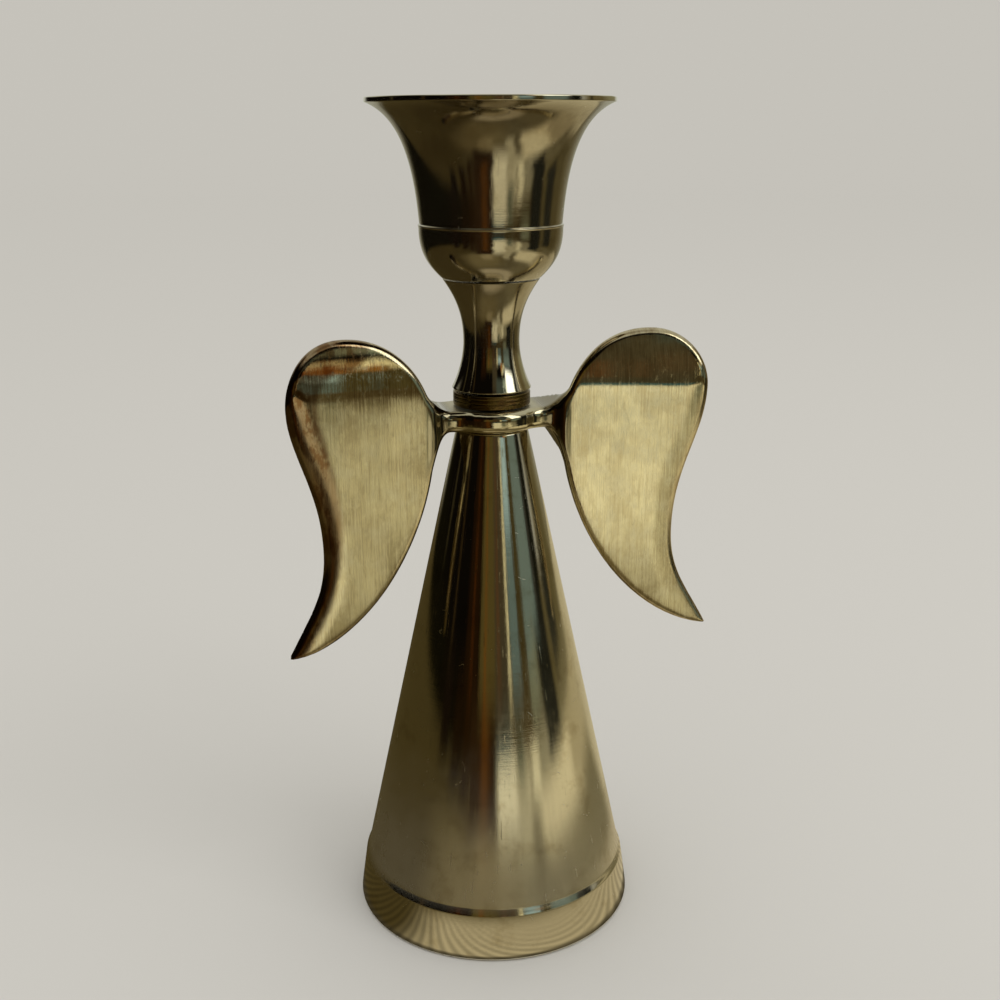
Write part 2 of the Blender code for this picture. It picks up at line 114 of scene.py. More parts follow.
class YokeSettings(bpy.types.PropertyGroup):
    hub_radius: length("Hub radius", "Radius of the flat round hub", 8.85)
    wing_thickness: length("Wing thickness", "Thickness of a wing at its top", 2.4)
    tip_thickness: length("Tip thickness", "Thickness of a wing at its tip", 1.7)
    fillet: length("Fillet", "Width over which arm and wing run into each other", 2.2)
    edge: length("Edge", "Rounding of the hub's and the arms' edges", 1.45)
    mesh_size: length("Mesh size", "Spacing of the points on the casting", 0.36)


class StemSettings(bpy.types.PropertyGroup):
    foot_radius: length("Foot radius", "Radius of the stem's foot", 7.5)
    waist_radius: length("Waist radius", "Radius at the narrowest place", 5.28)
    waist_height: length("Waist height", "Height of the narrowest place over the foot", 9.1)
    collar_radius: length("Collar radius", "Radius of the spacer under the stem", COLLAR[1][0])


class CupSettings(bpy.types.PropertyGroup):
    bowl_radius: length("Bowl radius", "Largest radius of the round bowl", 13.42)
    bowl_height: length("Bowl height", "Height of the bowl below the fine step", 9.2)
    socket_radius: length("Socket radius", "Radius of the bore that holds the candle", 11.25)
    rim_wall: length("Rim wall", "Thickness of the flared rim", 1.1)


class FixingSettings(bpy.types.PropertyGroup):
    pitch: length("Thread pitch", "Distance from one thread to the next", 0.8)
    thread_depth: length("Thread depth", "Depth of the thread in the rod", 0.4)
    across_flats: length("Across flats", "Width of the hexagon nut", 8.0)


class FinishSettings(bpy.types.PropertyGroup):
    plate: colour("Plate", "Colour of the worn silver plate", (0.66, 0.61, 0.47))
    wing_plate: colour("Wing plate", "Colour of the brushed plate on the wings", (0.84, 0.76, 0.51))
    brass: colour("Brass", "Colour of the bare brass collar", (0.17, 0.122, 0.036))
    tarnish: colour("Tarnish", "Colour of the thin tarnish", (0.36, 0.28, 0.14))
    zinc: colour("Zinc", "Colour of the zinc plate on rod, washer and nut", (0.50, 0.51, 0.52))
    polish: share("Polish", "Roughness of the mirror-polished plate", 0.07)
    brushing: share("Brushing", "Roughness of the brushed faces", 0.17)


class StageSettings(bpy.types.PropertyGroup):
    floor: colour("Floor", "Colour of the floor", (0.60, 0.585, 0.55))
    backdrop: colour("Backdrop", "Colour behind the object", (0.74, 0.76, 0.73))
    camera_place: FloatVectorProperty(
        name="Camera place",
        description="Where the camera stands",
        default=(-0.0525, -0.2291, 0.1557),
        subtype="TRANSLATION",
        unit="LENGTH",
    )
    camera_heading: angle("Camera heading", "Turn of the camera's view to the right of +Y", 13.28)
    camera_pitch: angle("Camera pitch", "Tilt of the camera below the horizon", 16.75)
    camera_roll: angle("Camera roll", "Roll of the camera about its view", -0.16)
    lens: FloatProperty(
        name="Lens", description="Focal length", default=45.23, subtype="DISTANCE_CAMERA"
    )
    round_count: IntProperty(
        name="Steps round", description="Points round a large turned piece", default=288, min=24
    )


# Shapes


def bezier(start, pull_start, pull_end, end, count=40):
    """Cubic Bezier curve: the four corners weighted by s3, 3s2t, 3st2 and t3, where s = 1 - t."""
    t = np.linspace(0.0, 1.0, count + 1)[:, None]
    s = 1 - t
    weights = np.hstack([s**3, 3 * s**2 * t, 3 * s * t**2, t**3])
    return weights @ np.array([start, pull_start, pull_end, end], float)


def quarter_round(centre, radius, angle_from, angle_to, count=8):
    """Points on a circle about centre, from one angle to the other in degrees."""
    a = np.radians(np.linspace(angle_from, angle_to, count + 1))
    return np.array(centre) + radius * np.stack([np.cos(a), np.sin(a)], 1)


def joined(*parts):
    return np.vstack([np.atleast_2d(np.array(part, float)) for part in parts])


# The even step in mm along a profile, and how much its turning counts against its length
EVEN_STEP, TURNING_WEIGHT = 0.03, 1.4


def resampled(line, along, wanted):
    """Points of a line where its measure along has the wanted values."""
    return np.stack([np.interp(wanted, along, column) for column in line.T], 1)


def eased(corners, closed, bell, rows):
    """Profile with its corners eased and its rows spaced. The line is walked in even steps, each
    point becomes the bell-weighted mean of its neighbours, and the rows are cut so that each takes
    the same share of length and of turning. An open line is continued as its own mirror image over
    the axis."""
    if closed:
        line = np.vstack([corners, corners[:1]])
    else:
        mirrored = corners[::-1] * [-1.0, 1.0]
        line = np.vstack([mirrored, corners[1:], mirrored[1:]])
    gaps = np.linalg.norm(np.diff(line, axis=0), axis=1)
    apart = gaps > 1e-9
    line = line[np.append(True, apart)]
    along = np.append(0.0, np.cumsum(gaps[apart]))
    count = int(along[-1] / EVEN_STEP)
    even = np.linspace(0.0, along[-1], count, endpoint=not closed)
    path = resampled(line, along, even)
    step = along[-1] / count
    reach = int(4 * bell / step) + 1
    bell_weights = np.exp(-0.5 * (np.arange(-reach, reach + 1) * step / bell) ** 2)
    bell_weights /= bell_weights.sum()
    padded = np.pad(path, ((reach, reach), (0, 0)), mode="wrap" if closed else "edge")
    path = np.stack([np.convolve(column, bell_weights, "valid") for column in padded.T], 1)
    if closed:
        path = np.vstack([path, path[:1]])
    else:
        middle = np.linalg.norm(np.diff(corners, axis=0), axis=1).sum()
        path = path[np.searchsorted(even, middle) : np.searchsorted(even, 2 * middle) + 1]
        path[0, 0] = path[-1, 0] = 0.0
    steps = np.diff(path, axis=0)
    lengths = np.linalg.norm(steps, axis=1)
    heading = np.unwrap(np.arctan2(steps[:, 1], steps[:, 0]))
    turning = np.abs(np.diff(heading, append=heading[-1:]))
    weight = lengths / lengths.sum() + TURNING_WEIGHT * turning / turning.sum()
    total = np.append(0.0, np.cumsum(weight))
    profile = resampled(path, total, np.linspace(0.0, total[-1], rows + 1))
    return profile[:-1] if closed else profile


# Length of profile, in mm, that fills the UV map's width
UV_LENGTH = 100.0


def mesh_piece(name, points, quads, triangles=None, uv=None):
    """Object at the origin from whole arrays: points in mm, faces as rows of point numbers, and one
    (u, v) for each face corner."""
    mesh = bpy.data.meshes.new(name)
    faces = quads.tolist() + ([] if triangles is None else triangles.tolist())
    mesh.from_pydata((points * MM).tolist(), [], faces)
    if uv is not None:
        layer = mesh.uv_layers.new(name=ALONG_AND_ROUND)
        layer.data.foreach_set("uv", uv.astype(np.float32).ravel())
    mesh.validate()
    mesh.shade_smooth()
    piece = bpy.data.objects.new(name, mesh)
    bpy.context.scene.collection.objects.link(piece)
    return piece


def grid_faces(rows, columns, rows_close=False, columns_close=False):
    """Quads of a grid of points, by row and column. The last row or column may join the first."""
    i, j = np.indices((rows - (not rows_close), columns - (not columns_close)))
    below, beside = (i + 1) % rows * columns, (j + 1) % columns
    return np.stack([i * columns + j, below + j, below + beside, i * columns + beside], -1)


def ring_points(profile, count, radius_rule=None):
    """Points (r cos a, r sin a, z): each row of a profile at even angles. radius_rule(r, z, a) may
    change the radius."""
    r, a = np.meshgrid(profile[:, 0], np.arange(count) * (math.tau / count), indexing="ij")
    z = np.repeat(profile[:, 1:], count, 1)
    if radius_rule is not None:
        r = radius_rule(r, z, a)
    return np.stack([r * np.cos(a), r * np.sin(a), z], -1).reshape(-1, 3)


def turned(name, profile, closed, count, radius_rule=None):
    """Turned piece: a profile carried round the axis. It runs down the outer side, so the faces
    point outwards. One that isn't closed starts and ends on the axis."""
    rows = len(profile)
    points = ring_points(profile, count, radius_rule)
    quads = grid_faces(rows, count, closed, True)
    lengths = np.linalg.norm(np.diff(profile, axis=0, append=profile[:1]), axis=1)
    along = np.append(0.0, np.cumsum(lengths)) / UV_LENGTH
    i, j = np.indices(quads.shape[:2])
    u = np.stack([along[i], along[i + 1], along[i + 1], along[i]], -1)
    v = np.stack([j, j, j + 1, j + 1], -1) / count
    uv = np.stack([u, v], -1)
    if closed:
        return mesh_piece(name, points, quads.reshape(-1, 4), uv=uv.reshape(-1, 2))
    # On the axis a whole row becomes one point, and its faces become triangles
    caps = np.concatenate([quads[0][:, [0, 1, 2]], quads[-1][:, [0, 1, 3]]])
    caps[:count, 0], caps[count:, 1] = 0, (rows - 1) * count
    cap_uv = np.concatenate([uv[0][:, [0, 1, 2]], uv[-1][:, [0, 1, 3]]])
    middle = quads[1:-1].reshape(-1, 4)
    used = np.unique(np.concatenate([middle.ravel(), caps.ravel()]))
    number = np.zeros(len(points), int)
    number[used] = np.arange(len(used))
    all_uv = np.concatenate([uv[1:-1].reshape(-1, 2), cap_uv.reshape(-1, 2)])
    return mesh_piece(name, points[used], number[middle], number[caps], all_uv)


def seat(piece, body, node, material):
    """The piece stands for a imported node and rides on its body."""
    piece.data.materials.append(material)
    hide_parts(node)
    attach(piece, body)


def in_mm(settings, *names):
    """The named settings, from metres to millimetres."""
    return [getattr(settings, name) / MM for name in names]


def skirt_profile(s):
    """Cone with a straight outer side, a small step over the foot band and one wall all round."""
    top, foot, cone_foot = in_mm(s, "top_radius", "foot_radius", "cone_foot_radius")
    band, wall, top_wall = in_mm(s, "band_height", "wall", "top_wall")
    height = SKIRT[1][2]
    ceiling = height - top_wall
    top_corner, foot_corner, foot_ring = 0.5, 0.7, 2.0
    step_out, step_down = 0.6, 1.2
    slope = (cone_foot - top) / (height - band)
    shift = wall * math.hypot(1, slope)
    return joined(
        [ROD_HOLE, height],
        quarter_round((top - top_corner, height - top_corner), top_corner, 90, 0),
        [cone_foot, band],
        [cone_foot + step_out, band - step_down],
        quarter_round((foot - foot_corner, foot_corner), foot_corner, 0, -90),
        [foot - foot_ring, 0.0],
        [cone_foot - shift, band],
        [top + slope * top_wall - shift, ceiling],
        [ROD_HOLE, ceiling],
    )


def stem_profile(s):
    """Waisted column between two seats: a curve from neck to waist and one from waist to foot."""
    names = ("foot_radius", "waist_radius", "waist_height")
    foot_radius, waist_radius, waist_height = in_mm(s, *names)
    floor, height, foot_edge = STEM[0][2], STEM[1][2] - STEM[0][2], 0.3
    neck, waist, foot = (STEM[1][0], height), (waist_radius, waist_height), (foot_radius, foot_edge)
    upper, lower = height - waist_height, waist_height - foot_edge
    neck_pull = (neck[0] - 2.2, height - 0.27 * upper)
    foot_pull = (foot_radius - 1.5, foot_edge + 0.34 * lower)
    shape = joined(
        [ROD_HOLE, height],
        bezier(neck, neck_pull, (waist_radius, waist_height + 0.46 * upper), waist),
        bezier(waist, (waist_radius, waist_height - 0.28 * lower), foot_pull, foot),
        [foot_radius - foot_edge, 0.0],
        [ROD_HOLE, 0.0],
    )
    return shape + [0.0, floor]


def collar_profile(s):
    """Plain ring with broken edges and two shallow turned grooves."""
    (outer,) = in_mm(s, "collar_radius")
    floor, top, edge = COLLAR[0][2], COLLAR[1][2], 0.15
    spacing, depth, half_width = 0.75, 0.06, 0.12
    side = []
    for z in (top - spacing, top - 2 * spacing):
        side += [[outer, z + half_width], [outer - depth, z], [outer, z - half_width]]
    return joined(
        [ROD_HOLE, top],
        [outer - edge, top],
        [outer, top - edge],
        side,
        [outer, floor + edge],
        [outer - edge, floor],
        [ROD_HOLE, floor],
    )


def cup_profile(s):
    """Candle cup: straight socket inside a flared mouth, thin lip, fine step and round bowl."""
    bowl, bowl_height, socket = in_mm(s, "bowl_radius", "bowl_height", "socket_radius")
    (rim_wall,) = in_mm(s, "rim_wall")
    floor, height, rim = CUP[0][2], CUP[1][2] - CUP[0][2], CUP[1][0]
    socket_floor, socket_straight, corner, rod_top = 7.2, 11.5, 1.0, 5.6
    lip_height, lip_edge, bead = 0.9, 0.15, 0.22
    lip, mouth = (rim, height - lip_height), (rim - rim_wall, height)
    socket_top = (socket, socket_floor + socket_straight)
    waist, brim, foot = (bowl - 0.25, bowl_height + 0.48), (bowl - 0.1, bowl_height), (9.35, 0.0)
    flare, throat = lip[1] - waist[1], mouth[1] - socket_top[1]
    socket_pull = (socket + 0.6, socket_top[1] + 0.45 * throat)
    mouth_pull = (mouth[0] - 6.6, height - 0.19 * throat)
    lip_pull = (rim - 6.5, lip[1] - 0.11 * flare)
    waist_pull = (waist[0] + 0.9, waist[1] + 0.49 * flare)
    brim_pull, foot_pull = (bowl - 0.15, 0.53 * bowl_height), (foot[0] + 2.8, 0.29 * bowl_height)
    shape = joined(
        [0.0, socket_floor],
        quarter_round((socket - corner, socket_floor + corner), corner, -90, 0),
        bezier(socket_top, socket_pull, mouth_pull, mouth),
        [rim - lip_edge, height],
        [rim, height - lip_edge],
        bezier(lip, lip_pull, waist_pull, waist),
        quarter_round((bowl - 0.2, bowl_height + bead), bead, 75, -40),
        bezier(brim, brim_pull, foot_pull, foot),
        [ROD_HOLE, 0.0],
        [ROD_HOLE, rod_top],
        [0.0, rod_top],
    )
    return shape + [0.0, floor]


def thread_radius(z, angle, crest, depth, pitch):
    """Radius of a screw thread: the crest less the depth times a rounded wave of z / pitch less the
    turns made, so that the groove climbs one pitch a turn."""
    turn = (z / pitch - angle / math.tau) % 1.0
    ridge = np.clip(np.abs(turn * 2 - 1) * 1.5 - 0.25, 0.0, 1.0)
    return crest - depth * (1 - ridge)


def rod_surface(s, count=48):
    """Threaded rod: rows run down the outer side, and the thread fades at both chamfered ends."""
    depth, pitch = in_mm(s, "thread_depth", "pitch")
    low, high, crest = ROD[0][2], ROD[1][2], ROD[1][0]
    row_height, end_chamfer = 0.08, 0.5
    z = np.linspace(high, low, int((high - low) / row_height))
    profile = joined([0.0, high], np.stack([np.full(len(z), crest), z], 1), [0.0, low])

    def rule(r, height, angle):
        wound = thread_radius(height, angle, crest, depth, pitch)
        chamfer = crest - end_chamfer + np.minimum(high - height, height - low)
        return np.where(r > 0, np.minimum(wound, chamfer), 0.0)

    return turned("threaded_rod", profile, False, count, rule)


def nut_surface(s, count=180):
    """Hexagon nut: a chamfered disc whose radius is held under the hexagon, apothem / cos(angle
    from the middle of the flat), and a bore that follows the rod's thread just outside it."""
    across, depth, pitch = in_mm(s, "across_flats", "thread_depth", "pitch")
    low, high, half = NUT[0][2], NUT[1][2], across / 2
    bore, mouth, mouth_depth = 2.62, 2.9, 0.25
    corner, face, slope, side_gap = half * 2 / math.sqrt(3), 0.95 * half, 0.577, 0.6
    drop = (corner - face) * slope
    profile = joined(
        [mouth, high],
        np.linspace((3.1, high), (face, high), 12),
        np.linspace((face + 0.05, high - 0.05 * slope), (corner, high - drop), 8),
        np.linspace((corner, high - side_gap), (corner, low + side_gap), 10),
        np.linspace((corner, low + drop), (face, low), 8),
        np.linspace((face - 0.05, low), (mouth, low), 12),
        [mouth, low + mouth_depth],
        np.linspace((bore, low + 2 * mouth_depth), (bore, high - 2 * mouth_depth), 40),
    )
    sixth = math.tau / 6

    def rule(r, height, angle):
        off = (angle + sixth / 2) % sixth - sixth / 2
        hexagon = half / np.cos(off) - 0.02
        wound = thread_radius(height, angle, bore, depth * 0.4, pitch)
        return np.where(r < (bore + mouth) / 2, wound, np.minimum(r, hexagon))

    nut = turned("hexagon_nut", profile, True, count, rule)
    nut.data.set_sharp_from_angle(angle=math.radians(28))
    return nut


# The wing yoke, as a field whose zero surface is the casting's skin


class BladeOutline:
    """Signed distance to a wing's outline on its own plane, worked out once on a fine grid and read
    between grid points with a cubic spline, so that the metal's normals stay smooth."""

    CELL = 0.2
    LOW = np.array([-4.0, -45.0])
    SHAPE = (215, 345)

    def __init__(self):
        apex, shoulder, waist = (21.0, 18.6), (32.0, 7.8), (26.1, -20.9)
        inner, tip = (4.3, 0.2), (33.5, -40.3)
        outer = joined(
            bezier(apex, (28.0, 18.6), (32.0, 13.3), shoulder, 60),
            bezier(shoulder, (32.0, -1.7), (26.1, -7.6), waist, 60)[1:],
            bezier(waist, (26.1, -29.5), (29.9, -33.1), tip, 60)[1:],
        )
        back = joined(
            bezier(apex, (8.5, 18.6), (4.3, 7.1), inner, 60),
            bezier(inner, (4.3, -17.4), (16.5, -38.5), tip, 90)[1:],
        )
        u = self.LOW[0] + self.CELL * np.arange(self.SHAPE[0])
        z = self.LOW[1] + self.CELL * np.arange(self.SHAPE[1])
        grid = np.stack(np.meshgrid(u, z, indexing="ij"), -1).reshape(-1, 2)
        loop = np.vstack([outer, back[::-1][1:]])
        edge = self.distance(grid, loop)
        signed = np.where(self.within(grid, loop), -edge, edge)
        self.grids = np.stack([signed, self.distance(grid, outer)]).reshape(2, *self.SHAPE)

    @staticmethod
    def distance(points, line):
        """Least distance from each point to a line of points, segment after segment."""
        nearest = np.full(len(points), np.inf)
        for a, b in zip(line[:-1], line[1:]):
            along = b - a
            t = np.clip((points - a) @ along / (along @ along), 0.0, 1.0)
            gap = points - (a + t[:, None] * along)
            nearest = np.minimum(nearest, (gap * gap).sum(1))
        return np.sqrt(nearest)

    @staticmethod
    def within(points, loop):
        """True where an odd number of the loop's segments crosses the level line to the right."""
        odd = np.zeros(len(points), bool)
        for a, b in zip(loop, np.roll(loop, -1, 0)):
            if a[1] == b[1]:
                continue
            crosses = (a[1] > points[:, 1]) != (b[1] > points[:, 1])
            at = a[0] + (points[:, 1] - a[1]) * (b[0] - a[0]) / (b[1] - a[1])
            odd ^= crosses & (points[:, 0] < at)
        return odd

    def at(self, u, z):
        """Signed distance to the outline and distance from its outer side, each a Catmull-Rom
        spline through the 4 x 4 grid values round each place."""
        x = np.clip((u - self.LOW[0]) / self.CELL, 1.0, self.SHAPE[0] - 2.001)
        y = np.clip((z - self.LOW[1]) / self.CELL, 1.0, self.SHAPE[1] - 2.001)
        i, j = x.astype(int), y.astype(int)
        fx, fy = x - i, y - j

        def weights(f):
            return (
                -0.5 * f + f**2 - 0.5 * f**3,
                1 - 2.5 * f**2 + 1.5 * f**3,
                0.5 * f + 2 * f**2 - 1.5 * f**3,
                -0.5 * f**2 + 0.5 * f**3,
            )

        wx, wy = weights(fx), weights(fy)
        total = 0.0
        for k in range(4):
            row = sum(wy[m] * self.grids[:, i + k - 1, j + m - 1] for m in range(4))
            total = total + wx[k] * row
        return total


def smooth_least(a, b, width):
    """Least of two distances, rounded where they differ by less than width: it lies width / 4 lower
    where they are equal."""
    near = np.clip(width - np.abs(a - b), 0.0, None) / width
    return np.minimum(a, b) - near * near * width / 4


def rounded_both(a, b, radius):
    """Distance to the part where both distances are below zero, its corner rounded to radius."""
    p, q = a + radius, b + radius
    outside = np.hypot(np.maximum(p, 0.0), np.maximum(q, 0.0))
    return outside + np.minimum(np.maximum(p, q), 0.0) - radius


def ease(t):
    t = np.clip(t, 0.0, 1.0)
    return t * t * (3 - 2 * t)


class YokeField:
    """Signed distance to the casting. Hub and arms are one plan between a floor and a top that
    part beyond the hub, and each wing is a plate about a crowned and bent middle surface."""

    HINGE, FORWARD, SWEEP = 8.0, 4.9, math.radians(10.8)
    WING_TOP, WING_TIP, BEND_START, BEND = 18.6, -40.3, 8.0, 48.0
    LEFT_CROWN, RIGHT_CROWN, CROWN_REACH = 1.2, 0.5, 4.8
    ARM_ROOT, TURN_START, ARM_REACH = 5.0, 9.0, 14.2
    HUB_SIDE, ARM_FRONT, ARM_BACK = 7.22, 5.7, 5.6
    ARM_DROP, ARM_RISE, SINK_START, SINK_DEPTH = 11.4, 4.7, 11.6, 0.93
    RIM, WAVE_DEPTH, SIDE_SHIFT = 1.1, 0.035, 1.3

    def __init__(self, s):
        self.outline = BladeOutline()
        names = ("hub_radius", "wing_thickness", "tip_thickness", "fillet", "edge")
        self.hub, self.thick, self.thin, self.fillet, self.edge = in_mm(s, *names)

    def blade_place(self, x, y):
        """Distance out along the blade's flat plane, and distance behind that plane."""
        c, s = math.cos(self.SWEEP), math.sin(self.SWEEP)
        out, back = x - self.HINGE, y + self.FORWARD
        return out * c - back * s, out * s + back * c

    def blade(self, x, y, z, side):
        """Half the plate's thickness, on a quarter ellipse near the outline, about its middle."""
        h = z - HUB_FLOOR
        u, w = self.blade_place(x, y)
        signed, from_outer = self.outline.at(u, h)
        down = np.clip((self.WING_TOP - h) / (self.WING_TOP - self.WING_TIP), 0, 1)
        half = (self.thick + (self.thin - self.thick) * down) / 2
        # The rounded rim narrows towards the tip, and the crown fades out towards the top
        rim = np.minimum(self.RIM, 0.34 * np.clip(h - self.WING_TIP + 0.9, 0.6, 10.0))
        middle = np.maximum(0.0, h - self.BEND_START) ** 2 / self.BEND
        crown = np.where(side > 0, self.LEFT_CROWN, self.RIGHT_CROWN)
        crown = crown * (1 - ease((h - 3.0) / 11.0))
        middle = middle + crown * np.maximum(0.0, 1 - from_outer / self.CROWN_REACH) ** 2
        # Hand finishing left the faces a little uneven
        wave = np.sin(0.42 * u + 0.21 * h + side) * np.sin(0.17 * h - 0.31 * u + 0.6 + side)
        middle = middle + self.WAVE_DEPTH * wave
        near = np.maximum(signed + rim, 0.0) / rim
        return (np.hypot(near, (w - middle) / half) - 1) * np.minimum(half, rim)

    def tarnish(self, points):
        """0 to 1: how much darker the plate is made, on the edges and on the left wing's outer side.
        """
        x, y, h = np.abs(points[:, 0]), points[:, 1], points[:, 2] - HUB_FLOOR
        signed, from_outer = self.outline.at(self.blade_place(x, y)[0], h)
        wide = 1.4 + 3.1 * ease((h + 30.0) / 34.0)
        outer = np.where(points[:, 0] < 0, 1 - ease((from_outer - wide) / 1.6), 0.0)
        return np.maximum(outer, 0.55 * (1 - ease(-signed / 2.4))) * ease((x - 11.0) / 4.0)

    def hub_and_arms(self, x, y, z):
        """The hub's disc and a strap that narrows to the blade's thickness as it turns upright,
        between a floor that falls as turn squared and a rising top, less the rod's hole."""
        ring = np.hypot(x, y)
        turn = np.clip((x - self.TURN_START) / (self.ARM_REACH - self.TURN_START), 0.0, 1.0)
        root = np.clip((self.TURN_START - x) / (self.TURN_START - self.ARM_ROOT), 0.0, 1.0) ** 2
        on_blade = -self.FORWARD - (x - self.HINGE) * math.tan(self.SWEEP)
        # Near its end the arm sinks into the plate
        sunk = ease((x - self.SINK_START) / (self.ARM_REACH - self.SINK_START))
        plate = self.thick / 2 - 0.2 - self.SINK_DEPTH * sunk
        lean = ease(turn)
        flats = (self.ARM_FRONT, self.ARM_BACK)
        before, behind = (flat + (self.HUB_SIDE - flat) * root for flat in flats)
        front = -before * (1 - lean) + (on_blade - plate) * lean
        back = behind * (1 - lean) + (on_blade + plate) * lean
        strap = np.maximum(front - y, y - back)
        strap = np.maximum(strap, np.maximum(self.ARM_ROOT - 1.0 - x, x - self.ARM_REACH))
        plan = smooth_least(ring - self.hub, strap, 0.5)
        floor = HUB_FLOOR - self.ARM_DROP * turn**2 + 1.6 * sunk
        top = HUB_TOP + self.ARM_RISE * turn**1.7 - 1.2 * sunk
        slab = np.maximum(floor - z, z - top)
        edge = np.minimum(self.edge, np.maximum((back - front) * 0.46, 0.04))
        body = rounded_both(plan, slab, edge)
        return rounded_both(body, ROD_HOLE - ring, 0.25)

    def __call__(self, x, y, z):
        """The lesser of both parts, joined by a fillet. The side's number also shifts the waves."""
        out = np.abs(x)
        side = np.where(x < 0, self.SIDE_SHIFT, 0.0)
        blade = self.blade(out, y, z, side)
        rest = self.hub_and_arms(out, y, z)
        fillet = self.fillet * (1 - 0.5 * ease((out - 12.4) / 1.8))
        return smooth_least(rest, blade, fillet)


def zero_surface(field, low, high, cell):
    """Points and quads of a field's zero surface. Each grid cell that the surface crosses gets one
    point, the mean of the crossings on its edges, and each crossed grid edge joins the points of
    its four cells. The points are then moved onto the surface along the field's slope."""
    axes = [np.arange(a, b + cell, cell) for a, b in zip(low, high)]
    grid = np.meshgrid(*axes, indexing="ij")
    value = field(*grid)
    inside = value < 0
    cells = tuple(n - 1 for n in value.shape)
    total = np.zeros(cells + (3,))
    hits = np.zeros(cells)
    crossings = []
    for axis in range(3):
        near, far = [slice(None)] * 3, [slice(None)] * 3
        near[axis], far[axis] = slice(0, -1), slice(1, None)
        near, far = tuple(near), tuple(far)
        changes = inside[near] != inside[far]
        index = np.argwhere(changes)
        first, second = value[near][changes], value[far][changes]
        place = index.astype(float)
        place[:, axis] += first / (first - second)
        others = [k for k in range(3) if k != axis]
        around = []
        for p, q in ((-1, -1), (0, -1), (0, 0), (-1, 0)):
            corner = index.copy()
            corner[:, others] += (p, q)
            around.append(corner)
            np.add.at(total, tuple(corner.T), place)
            np.add.at(hits, tuple(corner.T), 1)
        crossings.append((axis, inside[near][changes], around))
    filled = hits > 0
    number = np.full(cells, -1)
    number[filled] = np.arange(filled.sum())
    points = np.array(low) + cell * total[filled] / hits[filled][:, None]
    quads = []
    for axis, starts_inside, around in crossings:
        four = np.stack([number[tuple(c.T)] for c in around], 1)
        turn = starts_inside if axis != 1 else ~starts_inside
        four[~turn] = four[~turn][:, ::-1]
        quads.append(four)
    for _ in range(4):
        points = points - newton_step(field, points)
    return points, np.concatenate(quads)


def newton_step(field, points, reach=0.02, least_square=0.05, longest=0.2):
    """Value over squared slope, times the slope, with the slope from differences each way. The
    square is held above its least, and the step to the longest."""
    value = field(*points.T)
    slope = np.empty_like(points)
    for k, shift in enumerate(reach * np.eye(3)):
        slope[:, k] = (field(*(points + shift).T) - field(*(points - shift).T)) / (2 * reach)
    squared = np.maximum((slope**2).sum(1), least_square)
    step = (value / squared)[:, None] * slope
    size = np.linalg.norm(step, axis=1)
    return step * np.minimum(1.0, longest / np.maximum(size, 1e-9))[:, None]


# Materials


class Value:
    """A number or colour that a node gives. Each sum, difference or product adds a Math node."""

    def __init__(self, nodes, socket):
        self.nodes, self.socket = nodes, socket

    def __add__(self, other):
        return self.nodes.math("ADD", self, other)

    def __sub__(self, other):
        return self.nodes.math("SUBTRACT", self, other)

    def __mul__(self, other):
        return self.nodes.math("MULTIPLY", self, other)

    def __truediv__(self, other):
        return self.nodes.math("DIVIDE", self, other)

    def __abs__(self):
        return self.nodes.math("ABSOLUTE", self)

    def spread(self, low, high, to_low=0.0, to_high=1.0):
        """Eased from to_low, where the value is low, to to_high, where it is high."""
        given = {0: self, 1: low, 2: high, 3: to_low, 4: to_high}
        return self.nodes.node("ShaderNodeMapRange", given, interpolation_type="SMOOTHSTEP")


class Nodes:
    """The nodes of a material or a world, each added by a short call that returns its output."""

    def __init__(self, owner, emptied=False):
        owner.use_nodes = True
        self.tree = owner.node_tree
        if emptied:
            self.tree.nodes.clear()

    def node(self, kind, inputs=(), output=0, **settings):
        made = self.tree.nodes.new(kind)
        for key, value in settings.items():
            setattr(made, key, value)
        for key, value in dict(inputs).items():
            if isinstance(value, Value):
                self.tree.links.new(value.socket, made.inputs[key])
            elif value is not None:
                made.inputs[key].default_value = value
        return Value(self, made.outputs[output]) if made.outputs else None

    def math(self, operation, a, b=None, c=None, clamp=False):
        return self.node("ShaderNodeMath", {0: a, 1: b, 2: c}, operation=operation, use_clamp=clamp)


